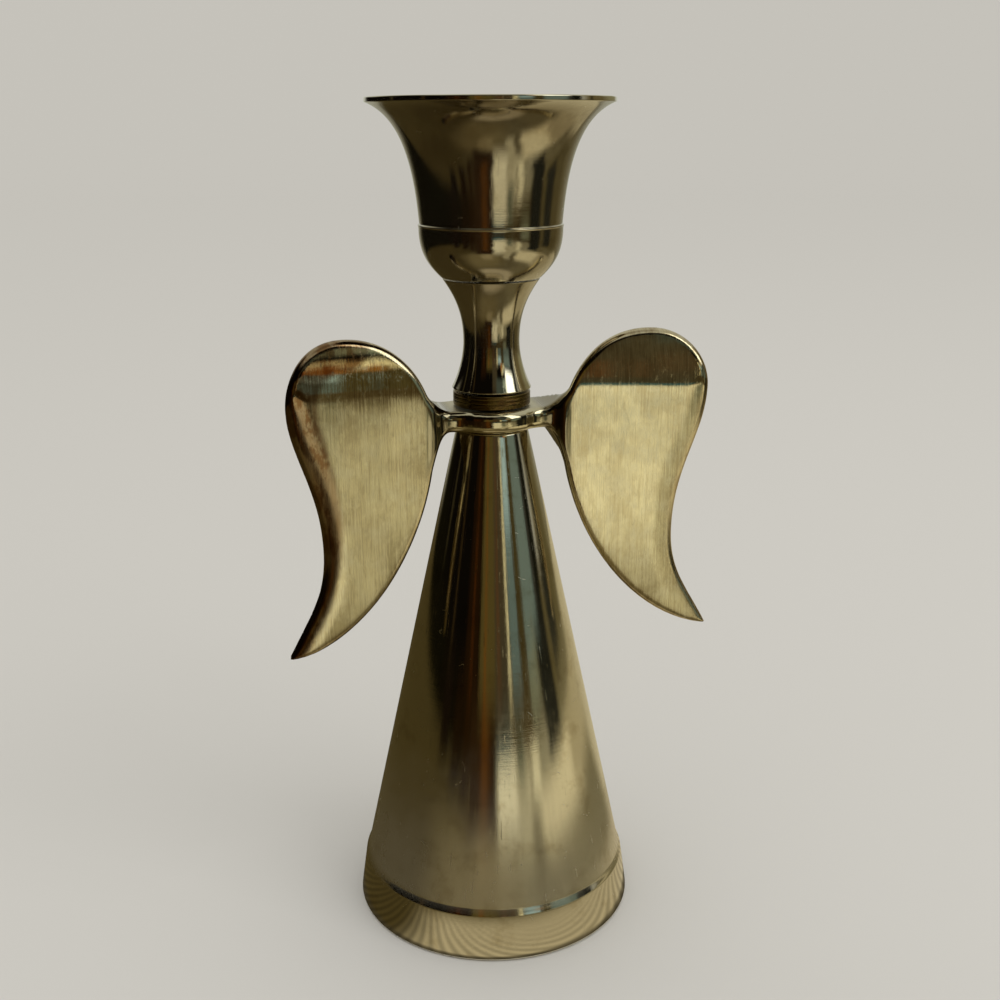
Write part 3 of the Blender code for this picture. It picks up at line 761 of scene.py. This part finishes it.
class Shades(Nodes):
    """One surface's material. Its places are object coordinates in millimetres."""

    def __init__(self, name, base, roughness, metallic=1.0):
        self.material = bpy.data.materials.new(name)
        super().__init__(self.material)
        self.shader = self.tree.nodes["Principled BSDF"]
        self.fix("Base Color", (*base, 1.0))
        self.fix("Roughness", roughness)
        self.fix("Metallic", metallic)

    def fix(self, socket, constant):
        self.shader.inputs[socket].default_value = constant

    def link(self, value, socket):
        self.tree.links.new(value.socket, self.shader.inputs[socket])

    def place(self):
        """The place on the piece and its three parts."""
        where = self.node("ShaderNodeTexCoord", output="Object")
        given = {0: where, 1: (1 / MM, 1 / MM, 1 / MM)}
        scaled = self.node("ShaderNodeVectorMath", given, operation="MULTIPLY")
        parts = self.node("ShaderNodeSeparateXYZ", {0: scaled}).socket.node.outputs
        return (scaled, *(Value(self, part) for part in parts))

    def round_axis(self):
        """The place, x / radius, y / radius and z: the middle two don't change along the axis."""
        where, x, y, z = self.place()
        radius = self.math("MAXIMUM", self.math("SQRT", x * x + y * y), 0.01)
        return where, x / radius, y / radius, z

    def noise(self, vector, scale, detail, roughness):
        given = {"Vector": vector, "Scale": scale, "Detail": detail, "Roughness": roughness}
        return self.node("ShaderNodeTexNoise", given)

    def drawn_noise(self, x, y, z, detail, roughness):
        """Noise at (x, y, z), where each is stretched on its own."""
        where = self.node("ShaderNodeCombineXYZ", {0: x, 1: y, 2: z})
        return self.noise(where, 1.0, detail, roughness)

    def coated(self, base, *coats):
        """The base under its coats: each coat's colour covers what lies below by its share."""
        for cover, shade in coats:
            under, over = (c if isinstance(c, Value) else (*c, 1.0) for c in (base, shade))
            base = self.node("ShaderNodeMix", {0: cover, 6: under, 7: over}, 2, data_type="RGBA")
        return base

    def bump(self, height, strength):
        given = {"Height": height, "Strength": strength, "Distance": BUMP_DEPTH}
        self.link(self.node("ShaderNodeBump", given), "Normal")


def polished_plate(name, finish, polish, lines, streaks, spread_up, worn_below=0.0, painted_shade_heights=()):
    """Mirror-polished plate on a turned piece: fine turning lines, streaks along the profile, thin
    scratches, hazy patches and a little tarnish. Below a height in mm handling has dulled it, and
    between two heights a mottled brown darkening is painted shade."""
    base = finish.plate
    shades = Shades(name, base, polish)
    where, x, y, z = shades.round_axis()
    haze = shades.noise(where, 0.09, 4.0, 0.6)
    rings = shades.drawn_noise(x * 1.5, y * 1.5, z * 9.0, 4.0, 0.65)
    streak = shades.drawn_noise(x * 26.0, y * 26.0, z * 0.06, 4.0, 0.7)
    upright = shades.drawn_noise(x * 60.0, y * 60.0, haze * 5.0 + z * 0.22, 2.0, 0.5)
    upright = upright.spread(0.67, 0.73)
    contour = abs(shades.noise(where, 0.24, 0.0, 0.4) - 0.5)
    short = shades.noise(where, 0.42, 2.0, 0.5).spread(0.63, 0.67)
    curl = contour.spread(0.002, 0.007, 1.0, 0.0) * short
    speck = shades.noise(where, 2.6, 2.0, 0.5).spread(0.74, 0.80)
    rough = haze.spread(0.38, 0.68) * (0.64 * polish) + 0.64 * polish
    rough = streak.spread(0.45, 0.75) * (0.05 * streaks) + rough
    rough = curl * 0.25 + (upright * 0.12 + rough)
    rough = shades.math("MULTIPLY_ADD", speck, 0.2, rough, clamp=True)
    if worn_below:
        over_band = z.spread(8.6, 11.6)
        dulled = (haze * 26.0 + z).spread(worn_below - 6.0, worn_below + 26.0, 0.11, 0.0)
        dulled = dulled * over_band
        rough = rough + dulled
        shades.link(dulled * -0.5 + 1.0, "Metallic")
    shades.link(rough, "Roughness")
    tint = shades.coated(
        base,
        (shades.noise(where, 0.16, 5.0, 0.62).spread(0.50, 0.72, 0.0, 0.38), finish.tarnish),
        (speck * 0.5, (0.10, 0.08, 0.05)),
        (curl * 0.5, (0.92, 0.90, 0.80)),
    )
    # Painted shade: a mottled dark brown between the two heights, strongest on the cup's flare,
    # which also lowers Metallic a little
    if painted_shade_heights:
        painted_shade_share = z.spread(painted_shade_heights[0], painted_shade_heights[0] + 2.0) * z.spread(painted_shade_heights[1], painted_shade_heights[1] - 3.0)
        on_flare = z.spread(146.0, 152.0, 1.0, 1.4)
        painted_shade_share = painted_shade_share * haze.spread(0.3, 0.6, 0.34, 0.56) * on_flare
        shades.link(painted_shade_share * -0.012 + 1.0, "Metallic")
        tint = shades.coated(tint, (painted_shade_share, (0.20, 0.155, 0.085)))
    shades.link(tint, "Base Color")
    scratch = shades.math("MAXIMUM", upright, curl)
    shades.bump(rings * lines + streak * streaks - scratch * 0.5, 0.10)
    shades.fix("Anisotropic", spread_up)
    tangent = shades.node("ShaderNodeTangent", direction_type="UV_MAP", uv_map=ALONG_AND_ROUND)
    shades.link(tangent, "Tangent")
    return shades.material


def brushed_wings(name, finish):
    """Hand-brushed plate on the casting: upright brush lines on the faces, a mirror on rounded
    edges and arms, painted shade on the arms, and a matt cast texture on the hub's flat top."""
    base = finish.wing_plate
    shades = Shades(name, base, finish.brushing)
    where, x, y, z = shades.place()
    haze = shades.noise(where, 0.10, 4.0, 0.6)
    brush = shades.drawn_noise(haze * 2.0 + x * 3.4, y * 0.6, z * 0.11, 4.0, 0.62)
    fine = shades.drawn_noise(x * 7.0, y, z * 0.35, 3.0, 0.6)
    blotch = shades.noise(where, 0.32, 5.0, 0.65)
    cloud = shades.drawn_noise(x * 0.42, y * 0.42, z * 0.20, 5.0, 0.7).spread(0.44, 0.62, 0.0, 0.38)
    scuff = shades.drawn_noise(x * 1.2, y * 1.2, z * 0.7, 5.0, 0.75).spread(0.50, 0.66)
    pits = shades.noise(where, 2.2, 3.0, 0.6).spread(0.70, 0.80)
    out = abs(x)
    on_face = out.spread(11.5, 15.5)
    # Painted shade: the arms are pulled towards a dark grey-brown, up to a little above the hub's
    # top
    painted_arm_shade = out.spread(7.6, 9.6) * out.spread(14.6, 12.2)
    painted_arm_shade = painted_arm_shade * z.spread(HUB_TOP + 5.0, HUB_TOP + 2.5, 0.0, 0.75)
    flat_top = z.spread(HUB_TOP - 0.12, HUB_TOP - 0.02) * out.spread(10.5, 8.0)
    rough = blotch.spread(0.35, 0.7) * 0.08 + (finish.brushing - 0.04)
    rough = brush.spread(0.4, 0.75) * 0.07 + rough
    rough = rough * (on_face * 0.6 + 0.4) * z.spread(HUB_FLOOR + 4.0, HUB_FLOOR + 9.5, 1.0, 0.35)
    rough = shades.math("MULTIPLY_ADD", pits, 0.15, flat_top * 0.30 + rough, clamp=True)
    rough = z.spread(HUB_FLOOR + 7.0, HUB_FLOOR + 9.0) * scuff * 0.13 + rough
    shades.link(rough, "Roughness")
    # How much darker the plate is made on the edges and on the left wing's outer side
    on_edge = shades.node("ShaderNodeAttribute", output="Fac", attribute_name=EDGE_DARKENING)
    tint = shades.coated(
        base,
        (haze.spread(0.42, 0.66, 0.0, 0.42), finish.tarnish),
        (cloud, (0.50, 0.41, 0.24)),
        (brush.spread(0.48, 0.70, 0.0, 0.6), (0.96, 0.89, 0.66)),
        (brush.spread(0.50, 0.34, 0.0, 0.55), (0.52, 0.44, 0.27)),
        (blotch.spread(0.46, 0.66, 0.0, 0.35), (0.98, 0.92, 0.70)),
        (fine.spread(0.52, 0.66, 0.0, 0.45), (0.54, 0.46, 0.28)),
        (on_edge * cloud.spread(0.0, 0.38, 0.72, 0.92), (0.17, 0.078, 0.024)),
    )
    tint = shades.coated((0.56, 0.50, 0.34), (on_face, tint))
    # Painted shade on the arms, then dark cast pits
    tint = shades.coated(tint, (painted_arm_shade, (0.17, 0.14, 0.09)), (pits * 0.55, (0.12, 0.09, 0.05)))
    shades.link(tint, "Base Color")
    cast = shades.noise(where, 4.5, 3.0, 0.6) * flat_top * 2.5
    shades.bump(cast + (brush * 0.6 + fine * 0.3) - pits * 0.5, 0.11)
    return shades.material


def bare_brass(name, finish):
    """Turned brass whose plate has worn off: close turning lines and dark patches."""
    base = finish.brass
    shades = Shades(name, base, 0.24)
    where, x, y, z = shades.round_axis()
    rings = shades.drawn_noise(x * 0.8, y * 0.8, z * 7.0, 4.0, 0.7)
    patch = shades.noise(where, 0.45, 4.0, 0.6)
    shades.link(rings * 0.16 + 0.06, "Roughness")
    tint = shades.coated(
        base,
        (patch.spread(0.4, 0.7, 0.0, 0.75), (0.12, 0.06, 0.025)),
        (rings.spread(0.5, 0.75, 0.0, 0.5), (0.42, 0.33, 0.14)),
    )
    shades.link(tint, "Base Color")
    shades.bump(rings, 0.5)
    return shades.material


def zinc_plate(name, finish, grain=1.0):
    """Dull zinc plate with a fine grain and darker spots."""
    base = finish.zinc
    shades = Shades(name, base, 0.36)
    where = shades.place()[0]
    spots = shades.noise(where, 0.9, 4.0, 0.6)
    shades.link(spots * 0.3 + 0.22, "Roughness")
    tint = shades.coated(base, (spots.spread(0.45, 0.7, 0.0, 0.6), (0.30, 0.29, 0.26)))
    shades.link(tint, "Base Color")
    shades.bump(shades.noise(where, 5.0 * grain, 3.0, 0.6), 0.15)
    return shades.material


# Stage


def plain_material(name, base):
    shades = Shades(name, base, 1.0, 0.0)
    shades.fix("Specular IOR Level", 0.0)
    return shades.material


def glow_material(name, rib_width=0.0):
    """Shows its mesh's own tones, however it is lit. Ribs darken it in even waves, as in cloth."""
    material = bpy.data.materials.new(name)
    nodes = Nodes(material, emptied=True)
    glow = {"Color": nodes.node("ShaderNodeAttribute", output="Color", attribute_name=TONE)}
    if rib_width:
        where = nodes.node("ShaderNodeTexCoord", output="Object")
        given = {"Vector": where, "Rotation": (0.0, 0.0, RIB_BEARING)}
        where = nodes.node("ShaderNodeMapping", given)
        # The Wave texture's lines lie a twentieth of a turn over its scale apart
        given = {"Vector": where, "Scale": math.tau / 20 / rib_width, "Distortion": 0.6}
        ribs = nodes.node("ShaderNodeTexWave", given, "Fac")
        given = {"Value": ribs, "To Min": 0.74, "To Max": 1.16}
        glow["Strength"] = nodes.node("ShaderNodeMapRange", given)
    nodes.node("ShaderNodeOutputMaterial", {0: nodes.node("ShaderNodeEmission", glow)})
    return material


def over_floor(s, bearing):
    """Unit directions over the floor, turned from the holder's line to the camera towards the
    image's right: the line times the bearing's cosine, plus the right times its sine."""
    place, heading = np.array(s.camera_place[:2]), s.camera_heading
    right = np.array([math.cos(heading), -math.sin(heading)])
    a = np.radians(bearing)[..., None]
    return np.cos(a) * place / np.linalg.norm(place) + np.sin(a) * right


def within(value, low, high, soft):
    """1 between low and high and 0 outside, eased over soft at both ends."""
    return ease((value - low) / soft + 0.5) * (1 - ease((value - high) / soft + 0.5))


def painted(bearing, across, base, patches):
    """Tones of a surface: over the base, each patch pulls the tone to its own colour inside its
    bearings and its heights or radii."""
    tone = np.zeros(bearing.shape + (4,))
    tone[..., :3] = base
    tone[..., 3] = 1.0
    for first, last, soft, low, high, soft_across, shade in patches:
        cover = within(bearing, first, last, soft) * within(across, low, high, soft_across)
        tone[..., :3] += cover[..., None] * (np.array(shade) - tone[..., :3])
    return tone


def tone_card(name, points, tone, rib_width=0.0):
    """Card with a tone at each point, seen only as a reflection in the metal."""
    rows, columns = points.shape[:2]
    card = mesh_piece(name, points.reshape(-1, 3) / MM, grid_faces(rows, columns).reshape(-1, 4))
    layer = card.data.color_attributes.new(TONE, "FLOAT_COLOR", "POINT")
    layer.data.foreach_set("color", tone.astype(np.float32).ravel())
    card.data.materials.append(glow_material(name, rib_width))
    for ray in ("camera", "diffuse", "shadow", "transmission", "volume_scatter"):
        setattr(card, f"visible_{ray}", False)
    return card


WINDOW_BEARING, WINDOW_DISTANCE, WINDOW_HEIGHT = 55.0, 0.9, 0.95
DOME_RADIUS, DOME_HEIGHT = 1.6, 0.11
CLOTH_RADII, CLOTH_HEIGHT = (0.02805, 1.64), 0.0005
CLOTH_RIB, RIB_BEARING = 0.0027, math.radians(68)

# Each patch: first and last bearing in degrees to the image's right of the camera, their softness,
# then the lowest and highest place (degrees up in the room, metres out on the floor), its softness
# and the tone
ROOM_BASE = (0.60, 0.61, 0.55)
ROOM_PATCHES = (
    (-190, 190, 8, 74, 120, 20, (0.36, 0.35, 0.3)),
    (-128, 80, 44, -30, 58, 20, (0.16, 0.14, 0.09)),
    (-118, 80, 22, -30, 56, 20, (0.004, 0.003, 0.002)),
    (-150, -100, 12, -30, 12, 6, (0.004, 0.003, 0.002)),
    (-98, -95, 2, -30, 30, 10, (0.05, 0.04, 0.018)),
    (-62, -59, 2, -30, 34, 10, (0.035, 0.022, 0.008)),
    (-38, -20, 5, -30, 24, 8, (0.016, 0.007, 0.002)),
    (-30, -28, 1.5, -30, 14, 6, (0.06, 0.018, 0.003)),
    (-18, 8, 3, -30, 18, 8, (0.095, 0.07, 0.02)),
    (-12, -9, 2, -30, 16, 6, (0.15, 0.065, 0.01)),
    (3, 20, 2, -6, 38, 6, (0.06, 0.048, 0.026)),
    (6, 10, 3, -5, 12, 8, (0.1, 0.05, 0.019)),
    (14, 17, 2, 2, 18, 8, (0.085, 0.055, 0.026)),
    (20.5, 23.5, 1.5, -30, 14, 6, (0.85, 0.76, 0.45)),
    (25, 38, 2, 4, 12, 4, (0.4, 0.55, 0.57)),
    (25, 38, 2, -30, 4, 4, (0.13, 0.18, 0.17)),
    (47, 72, 3, -30, 13, 4, (0.16, 0.21, 0.19)),
    (38, 48, 2, -30, 14, 4, (0.065, 0.05, 0.018)),
    (34, 41, 2, 11, 18, 2, (0.36, 0.16, 0.04)),
    (43.5, 48, 1.5, 12, 16, 2, (0.95, 0.88, 0.55)),
    (40.5, 44, 1.5, 15, 19, 2, (1.05, 0.98, 0.62)),
    (37, 41, 1.5, 18, 22, 2, (0.85, 0.76, 0.45)),
    (16, 62, 6, 26, 42, 6, (0.065, 0.08, 0.065)),
    (39, 50, 3, 25, 33, 4, (0.34, 0.4, 0.3)),
    (76, 88, 4, -30, 30, 8, (0.01, 0.01, 0.006)),
    (122, 152, 10, -30, 20, 8, (0.26, 0.24, 0.14)),
    (92, 126, 14, -30, 34, 12, (0.15, 0.12, 0.055)),
    (100, 103, 2, -30, 20, 8, (0.02, 0.016, 0.008)),
    (50, 78, 5, 17, 64, 8, (2.5, 2.55, 2.4)),
)
# The mirrored cloth's tones hold painted light and shade: painted shade round the holder and on its
# left, and painted pools of brighter window light to the right and front
FLOOR_BASE = (0.15, 0.125, 0.065)
FLOOR_PATCHES = (
    (-190, -20, 60, 0, 3, 0.01, (0.07, 0.052, 0.018)),
    (-48, 20, 40, 0.06, 0.2, 0.06, (0.2, 0.16, 0.075)),
    (60, 150, 30, 0, 3, 0.01, (0.2, 0.17, 0.09)),
    (126, 172, 20, 0.05, 0.4, 0.04, (0.56, 0.49, 0.31)),
    (-38, 160, 30, 0, 0.052, 0.02, (0.5, 0.43, 0.28)),
    # Painted contact shadow in a thin ring round the foot
    (-190, 190, 8, 0, 0.0292, 0.001, (0.06, 0.05, 0.03)),
    (-190, -150, 40, 0.45, 3, 0.2, (0.42, 0.41, 0.32)),
    (150, 190, 40, 0.45, 3, 0.2, (0.42, 0.41, 0.32)),
    (3.5, 24, 2, 0.2, 3, 0.1, (0.92, 0.86, 0.62)),
    (24, 36, 3, 0.14, 3, 0.05, (0.55, 0.5, 0.33)),
    (36, 50, 4, 0.24, 3, 0.11, (0.94, 0.87, 0.59)),
    (50, 72, 3, 0.26, 3, 0.02, (0.34, 0.31, 0.2)),
    (46, 100, 9, 0.13, 0.25, 0.05, (0.84, 0.75, 0.49)),
    (-16, 4, 8, 0.13, 0.2, 0.04, (0.34, 0.28, 0.15)),
    (90, 132, 12, 0.13, 0.26, 0.05, (0.5, 0.43, 0.26)),
    (72, 128, 14, 0.36, 3, 0.1, (0.13, 0.105, 0.045)),
    (-144, -20, 24, 0.41, 3, 0.03, (0.006, 0.005, 0.002)),
    (-70, 3, 6, 0.4, 3, 0.03, (0.007, 0.005, 0.002)),
    (-62, -52, 2, 0.32, 3, 0.02, (0.01, 0.006, 0.003)),
    (-46, -36, 2, 0.28, 3, 0.02, (0.014, 0.007, 0.002)),
    (-34, -27, 2, 0.235, 3, 0.018, (0.02, 0.009, 0.002)),
    (-26, 3, 3, 0.19, 3, 0.018, (0.03, 0.015, 0.005)),
    (-13, -5, 2, 0.24, 3, 0.02, (0.1, 0.038, 0.007)),
    (25, 34, 2, 0.36, 3, 0.06, (0.17, 0.18, 0.12)),
    (3, 34, 3, 0.545, 3, 0.03, (0.07, 0.054, 0.022)),
    (34, 76, 3, 0.455, 3, 0.03, (0.07, 0.05, 0.02)),
    (48, 62, 3, 0.56, 3, 0.06, (0.22, 0.23, 0.15)),
    (3, 20, 2, 0.545, 3, 0.03, (0.06, 0.05, 0.028)),
    (3, 20, 2, 0.545, 0.67, 0.02, (0.04, 0.11, 0.125)),
    (64, 84, 3, 0.28, 3, 0.02, (0.018, 0.018, 0.012)),
    (91, 108, 5, 0.4, 3, 0.03, (0.028, 0.027, 0.018)),
    (38, 41, 1.5, 0.27, 0.62, 0.02, (0.16, 0.13, 0.07)),
)


class CANDLE_OT_skirt(bpy.types.Operator):
    """Build the hollow cone"""

    bl_idname = "candle_holder.skirt"
    bl_label = "Skirt"

    def execute(self, context):
        s, finish = context.scene.candle_skirt, context.scene.candle_finish
        profile = eased(skirt_profile(s), True, bell=0.12, rows=190)
        piece = turned("cone_skirt", profile, True, context.scene.candle_stage.round_count)
        look = {"lines": 0.35, "streaks": 0.8, "spread_up": 0.5, "worn_below": 30.0}
        plate = polished_plate("skirt_mirror_plate", finish, finish.polish, **look)
        seat(piece, "base", "skirt", plate)
        return {"FINISHED"}


class CANDLE_OT_yoke(bpy.types.Operator):
    """Build the cast yoke with its two wings"""

    bl_idname = "candle_holder.yoke"
    bl_label = "Wing yoke"

    def execute(self, context):
        s = context.scene.candle_yoke
        field, margin = YokeField(s), 0.8
        points, quads = zero_surface(field, WINGS[0] - margin, WINGS[1] + margin, s.mesh_size / MM)
        piece = mesh_piece("wing_yoke", points, quads)
        layer = piece.data.attributes.new(EDGE_DARKENING, "FLOAT", "POINT")
        layer.data.foreach_set("value", field.tarnish(points).astype(np.float32))
        plate = brushed_wings("wing_brushed_plate", context.scene.candle_finish)
        seat(piece, "wings", "wings", plate)
        return {"FINISHED"}


class CANDLE_OT_column(bpy.types.Operator):
    """Build the spacer collar and the waisted stem"""

    bl_idname = "candle_holder.column"
    bl_label = "Collar and stem"

    def execute(self, context):
        s, finish = context.scene.candle_stem, context.scene.candle_finish
        profile = eased(collar_profile(s), True, bell=0.05, rows=90)
        collar = turned("turned_collar", profile, True, count=192)
        seat(collar, "stem", "spacer_collar", bare_brass("collar_bare_brass", finish))
        profile = eased(stem_profile(s), True, bell=0.08, rows=150)
        stem = turned("waisted_stem", profile, True, count=224)
        # The stem gets a band of painted shade between 113 and 132 mm
        look = {"lines": 0.5, "streaks": 0.4, "spread_up": 0.4, "painted_shade_heights": (113.0, 132.0)}
        plate = polished_plate("stem_mirror_plate", finish, 0.6 * finish.polish, **look)
        seat(stem, "stem", "stem", plate)
        return {"FINISHED"}


class CANDLE_OT_cup(bpy.types.Operator):
    """Build the flared candle cup"""

    bl_idname = "candle_holder.cup"
    bl_label = "Candle cup"

    def execute(self, context):
        s, finish = context.scene.candle_cup, context.scene.candle_finish
        profile = eased(cup_profile(s), False, bell=0.07, rows=230)
        piece = turned("flared_candle_cup", profile, False, context.scene.candle_stage.round_count)
        # The cup gets a band of painted shade between 122 and 160.5 mm, strongest on its flare
        look = {"lines": 0.6, "streaks": 0.3, "spread_up": 0.2, "painted_shade_heights": (122.0, 160.5)}
        plate = polished_plate("cup_mirror_plate", finish, 0.5 * finish.polish, **look)
        seat(piece, "cup", "candle_cup", plate)
        return {"FINISHED"}


class CANDLE_OT_fixings(bpy.types.Operator):
    """Build the threaded rod, the washer and the hexagon nut"""

    bl_idname = "candle_holder.fixings"
    bl_label = "Rod, washer and nut"

    def execute(self, context):
        s, finish = context.scene.candle_fixings, context.scene.candle_finish
        plate = zinc_plate("rod_zinc_plate", finish, grain=1.4)
        seat(rod_surface(s), "base", "tie_rod", plate)
        low, high, outer = WASHER[0][2], WASHER[1][2], WASHER[1][0]
        ring = joined([ROD_HOLE, high], [outer, high], [outer, low], [ROD_HOLE, low])
        washer = turned("flat_washer", eased(ring, True, bell=0.09, rows=60), True, count=128)
        plate = zinc_plate("washer_zinc_plate", finish, grain=0.8)
        seat(washer, "base", "washer", plate)
        plate = zinc_plate("nut_zinc_plate", finish)
        seat(nut_surface(s), "base", "hex_nut", plate)
        return {"FINISHED"}


class CANDLE_OT_stage(bpy.types.Operator):
    """Build the floor, the reflection cards, the light and the camera"""

    bl_idname = "candle_holder.stage"
    bl_label = "Stage"

    def execute(self, context):
        s = context.scene.candle_stage
        self.make_floor(s)
        self.make_world(context.scene, s)
        self.make_reflections(s)
        self.make_window(context.scene, s)
        self.make_camera(context.scene, s)
        return {"FINISHED"}

    def make_window(self, scene, s):
        """A soft light from above the camera's right, which the metal doesn't mirror."""
        lamp = bpy.data.lights.new("soft_window", "AREA")
        lamp.shape = "RECTANGLE"
        lamp.size, lamp.size_y = 0.7, 0.6
        lamp.energy = 3.0
        window = bpy.data.objects.new("soft_window", lamp)
        window.location = (*(over_floor(s, WINDOW_BEARING) * WINDOW_DISTANCE), WINDOW_HEIGHT)
        middle = Vector((0.0, 0.0, 0.08))
        window.rotation_euler = (middle - window.location).to_track_quat("-Z", "Y").to_euler()
        window.visible_glossy = False
        scene.collection.objects.link(window)

    def make_reflections(self, s):
        """A dome for the room and a sheet for the cloth that the polished metal mirrors."""
        bearing = np.linspace(-180.0, 180.0, 361)
        rise, turn = np.meshgrid(np.linspace(-14.0, 90.0, 105), bearing, indexing="ij")
        tone = painted(turn, rise, ROOM_BASE, ROOM_PATCHES)
        up = np.radians(rise)[..., None]
        points = np.concatenate([np.cos(up) * over_floor(s, turn), np.sin(up)], -1) * DOME_RADIUS
        tone_card("mirrored_room", points + np.array([0.0, 0.0, DOME_HEIGHT]), tone)
        radius, turn = np.meshgrid(np.geomspace(*CLOTH_RADII, 120), bearing, indexing="ij")
        # Folds in the cloth make the tones' borders waver
        folds = 1.6 * np.sin(radius * 47) + 1.1 * np.sin(radius * 121 + 1.0)
        tone = painted(turn + folds, radius, FLOOR_BASE, FLOOR_PATCHES)
        flat = radius[..., None] * over_floor(s, turn)
        points = np.concatenate([flat, np.full(radius.shape + (1,), CLOTH_HEIGHT)], -1)
        tone_card("mirrored_cloth", points, tone, CLOTH_RIB)

    def make_floor(self, s):
        """Flat floor that sweeps up to a wall far from the holder, as one turned surface."""
        sweep = quarter_round((2600.0, 500.0), 500.0, -90, 0, 16)
        flat = [[radius, 0.0] for radius in (0.01, 60.0, 400.0, 1500.0)]
        profile = joined(flat, sweep, [3100.0, 5000.0])
        points, quads = ring_points(profile, 96), grid_faces(len(profile), 96, columns_close=True)
        floor = mesh_piece("pale_floor", points, quads.reshape(-1, 4))
        floor.data.materials.append(plain_material("pale_floor", s.floor))
        floor.visible_diffuse = False
        floor.visible_shadow = False

    def make_world(self, scene, s):
        """Even pale light from all round. The camera and the metal see the backdrop's tone."""
        scene.world = bpy.data.worlds.new("plain_surround")
        nodes = Nodes(scene.world, emptied=True)
        kinds = ("Is Camera Ray", "Is Glossy Ray")
        rays = (nodes.node("ShaderNodeLightPath", output=kind) for kind in kinds)
        given = {"Color": (1.0, 0.99, 0.96, 1.0), "Strength": 0.92}
        light = nodes.node("ShaderNodeBackground", given)
        back = nodes.node("ShaderNodeBackground", {"Color": (*s.backdrop, 1.0)})
        given = {0: nodes.math("MAXIMUM", *rays), 1: light, 2: back}
        nodes.node("ShaderNodeOutputWorld", {0: nodes.node("ShaderNodeMixShader", given)})

    def make_camera(self, scene, s):
        data = bpy.data.cameras.new("camera")
        data.sensor_width = 36.0
        data.lens = s.lens
        data.clip_start, data.clip_end = 0.01, 20.0
        camera = bpy.data.objects.new("camera", data)
        heading = Matrix.Rotation(-s.camera_heading, 4, "Z")
        pitch = Matrix.Rotation(math.pi / 2 - s.camera_pitch, 4, "X")
        roll = Matrix.Rotation(s.camera_roll, 4, "Z")
        camera.matrix_world = Matrix.Translation(Vector(s.camera_place)) @ heading @ pitch @ roll
        scene.collection.objects.link(camera)
        scene.camera = camera
        scene.view_settings.view_transform = "Standard"


class VIEW3D_PT_candle_holder(bpy.types.Panel):
    """Lists the pieces and their settings"""

    bl_label = "Candle Holder"
    bl_space_type = "VIEW_3D"
    bl_region_type = "UI"
    bl_category = "Candle Holder"

    def draw(self, context):
        for group, _, operator in PIECES:
            column = self.layout.column(align=True)
            if operator:
                column.operator(operator.bl_idname)
            settings = getattr(context.scene, group)
            for name in settings.bl_rna.properties.keys():
                if name not in ("rna_type", "name"):
                    column.prop(settings, name)


PIECES = (
    ("candle_skirt", SkirtSettings, CANDLE_OT_skirt),
    ("candle_yoke", YokeSettings, CANDLE_OT_yoke),
    ("candle_stem", StemSettings, CANDLE_OT_column),
    ("candle_cup", CupSettings, CANDLE_OT_cup),
    ("candle_fixings", FixingSettings, CANDLE_OT_fixings),
    ("candle_stage", StageSettings, CANDLE_OT_stage),
    ("candle_finish", FinishSettings, None),
)
CLASSES = [kind for row in PIECES for kind in row[1:] if kind] + [VIEW3D_PT_candle_holder]


def register():
    for item in CLASSES:
        bpy.utils.register_class(item)
    for name, group, _ in PIECES:
        setattr(bpy.types.Scene, name, PointerProperty(type=group))


def unregister():
    for name, _, _ in PIECES:
        delattr(bpy.types.Scene, name)
    for item in reversed(CLASSES):
        bpy.utils.unregister_class(item)


def main():
    register()
    bpy.ops.candle_holder.skirt()
    bpy.ops.candle_holder.yoke()
    bpy.ops.candle_holder.column()
    bpy.ops.candle_holder.cup()
    bpy.ops.candle_holder.fixings()
    bpy.ops.candle_holder.stage()


if __name__ == "__main__":
    main()
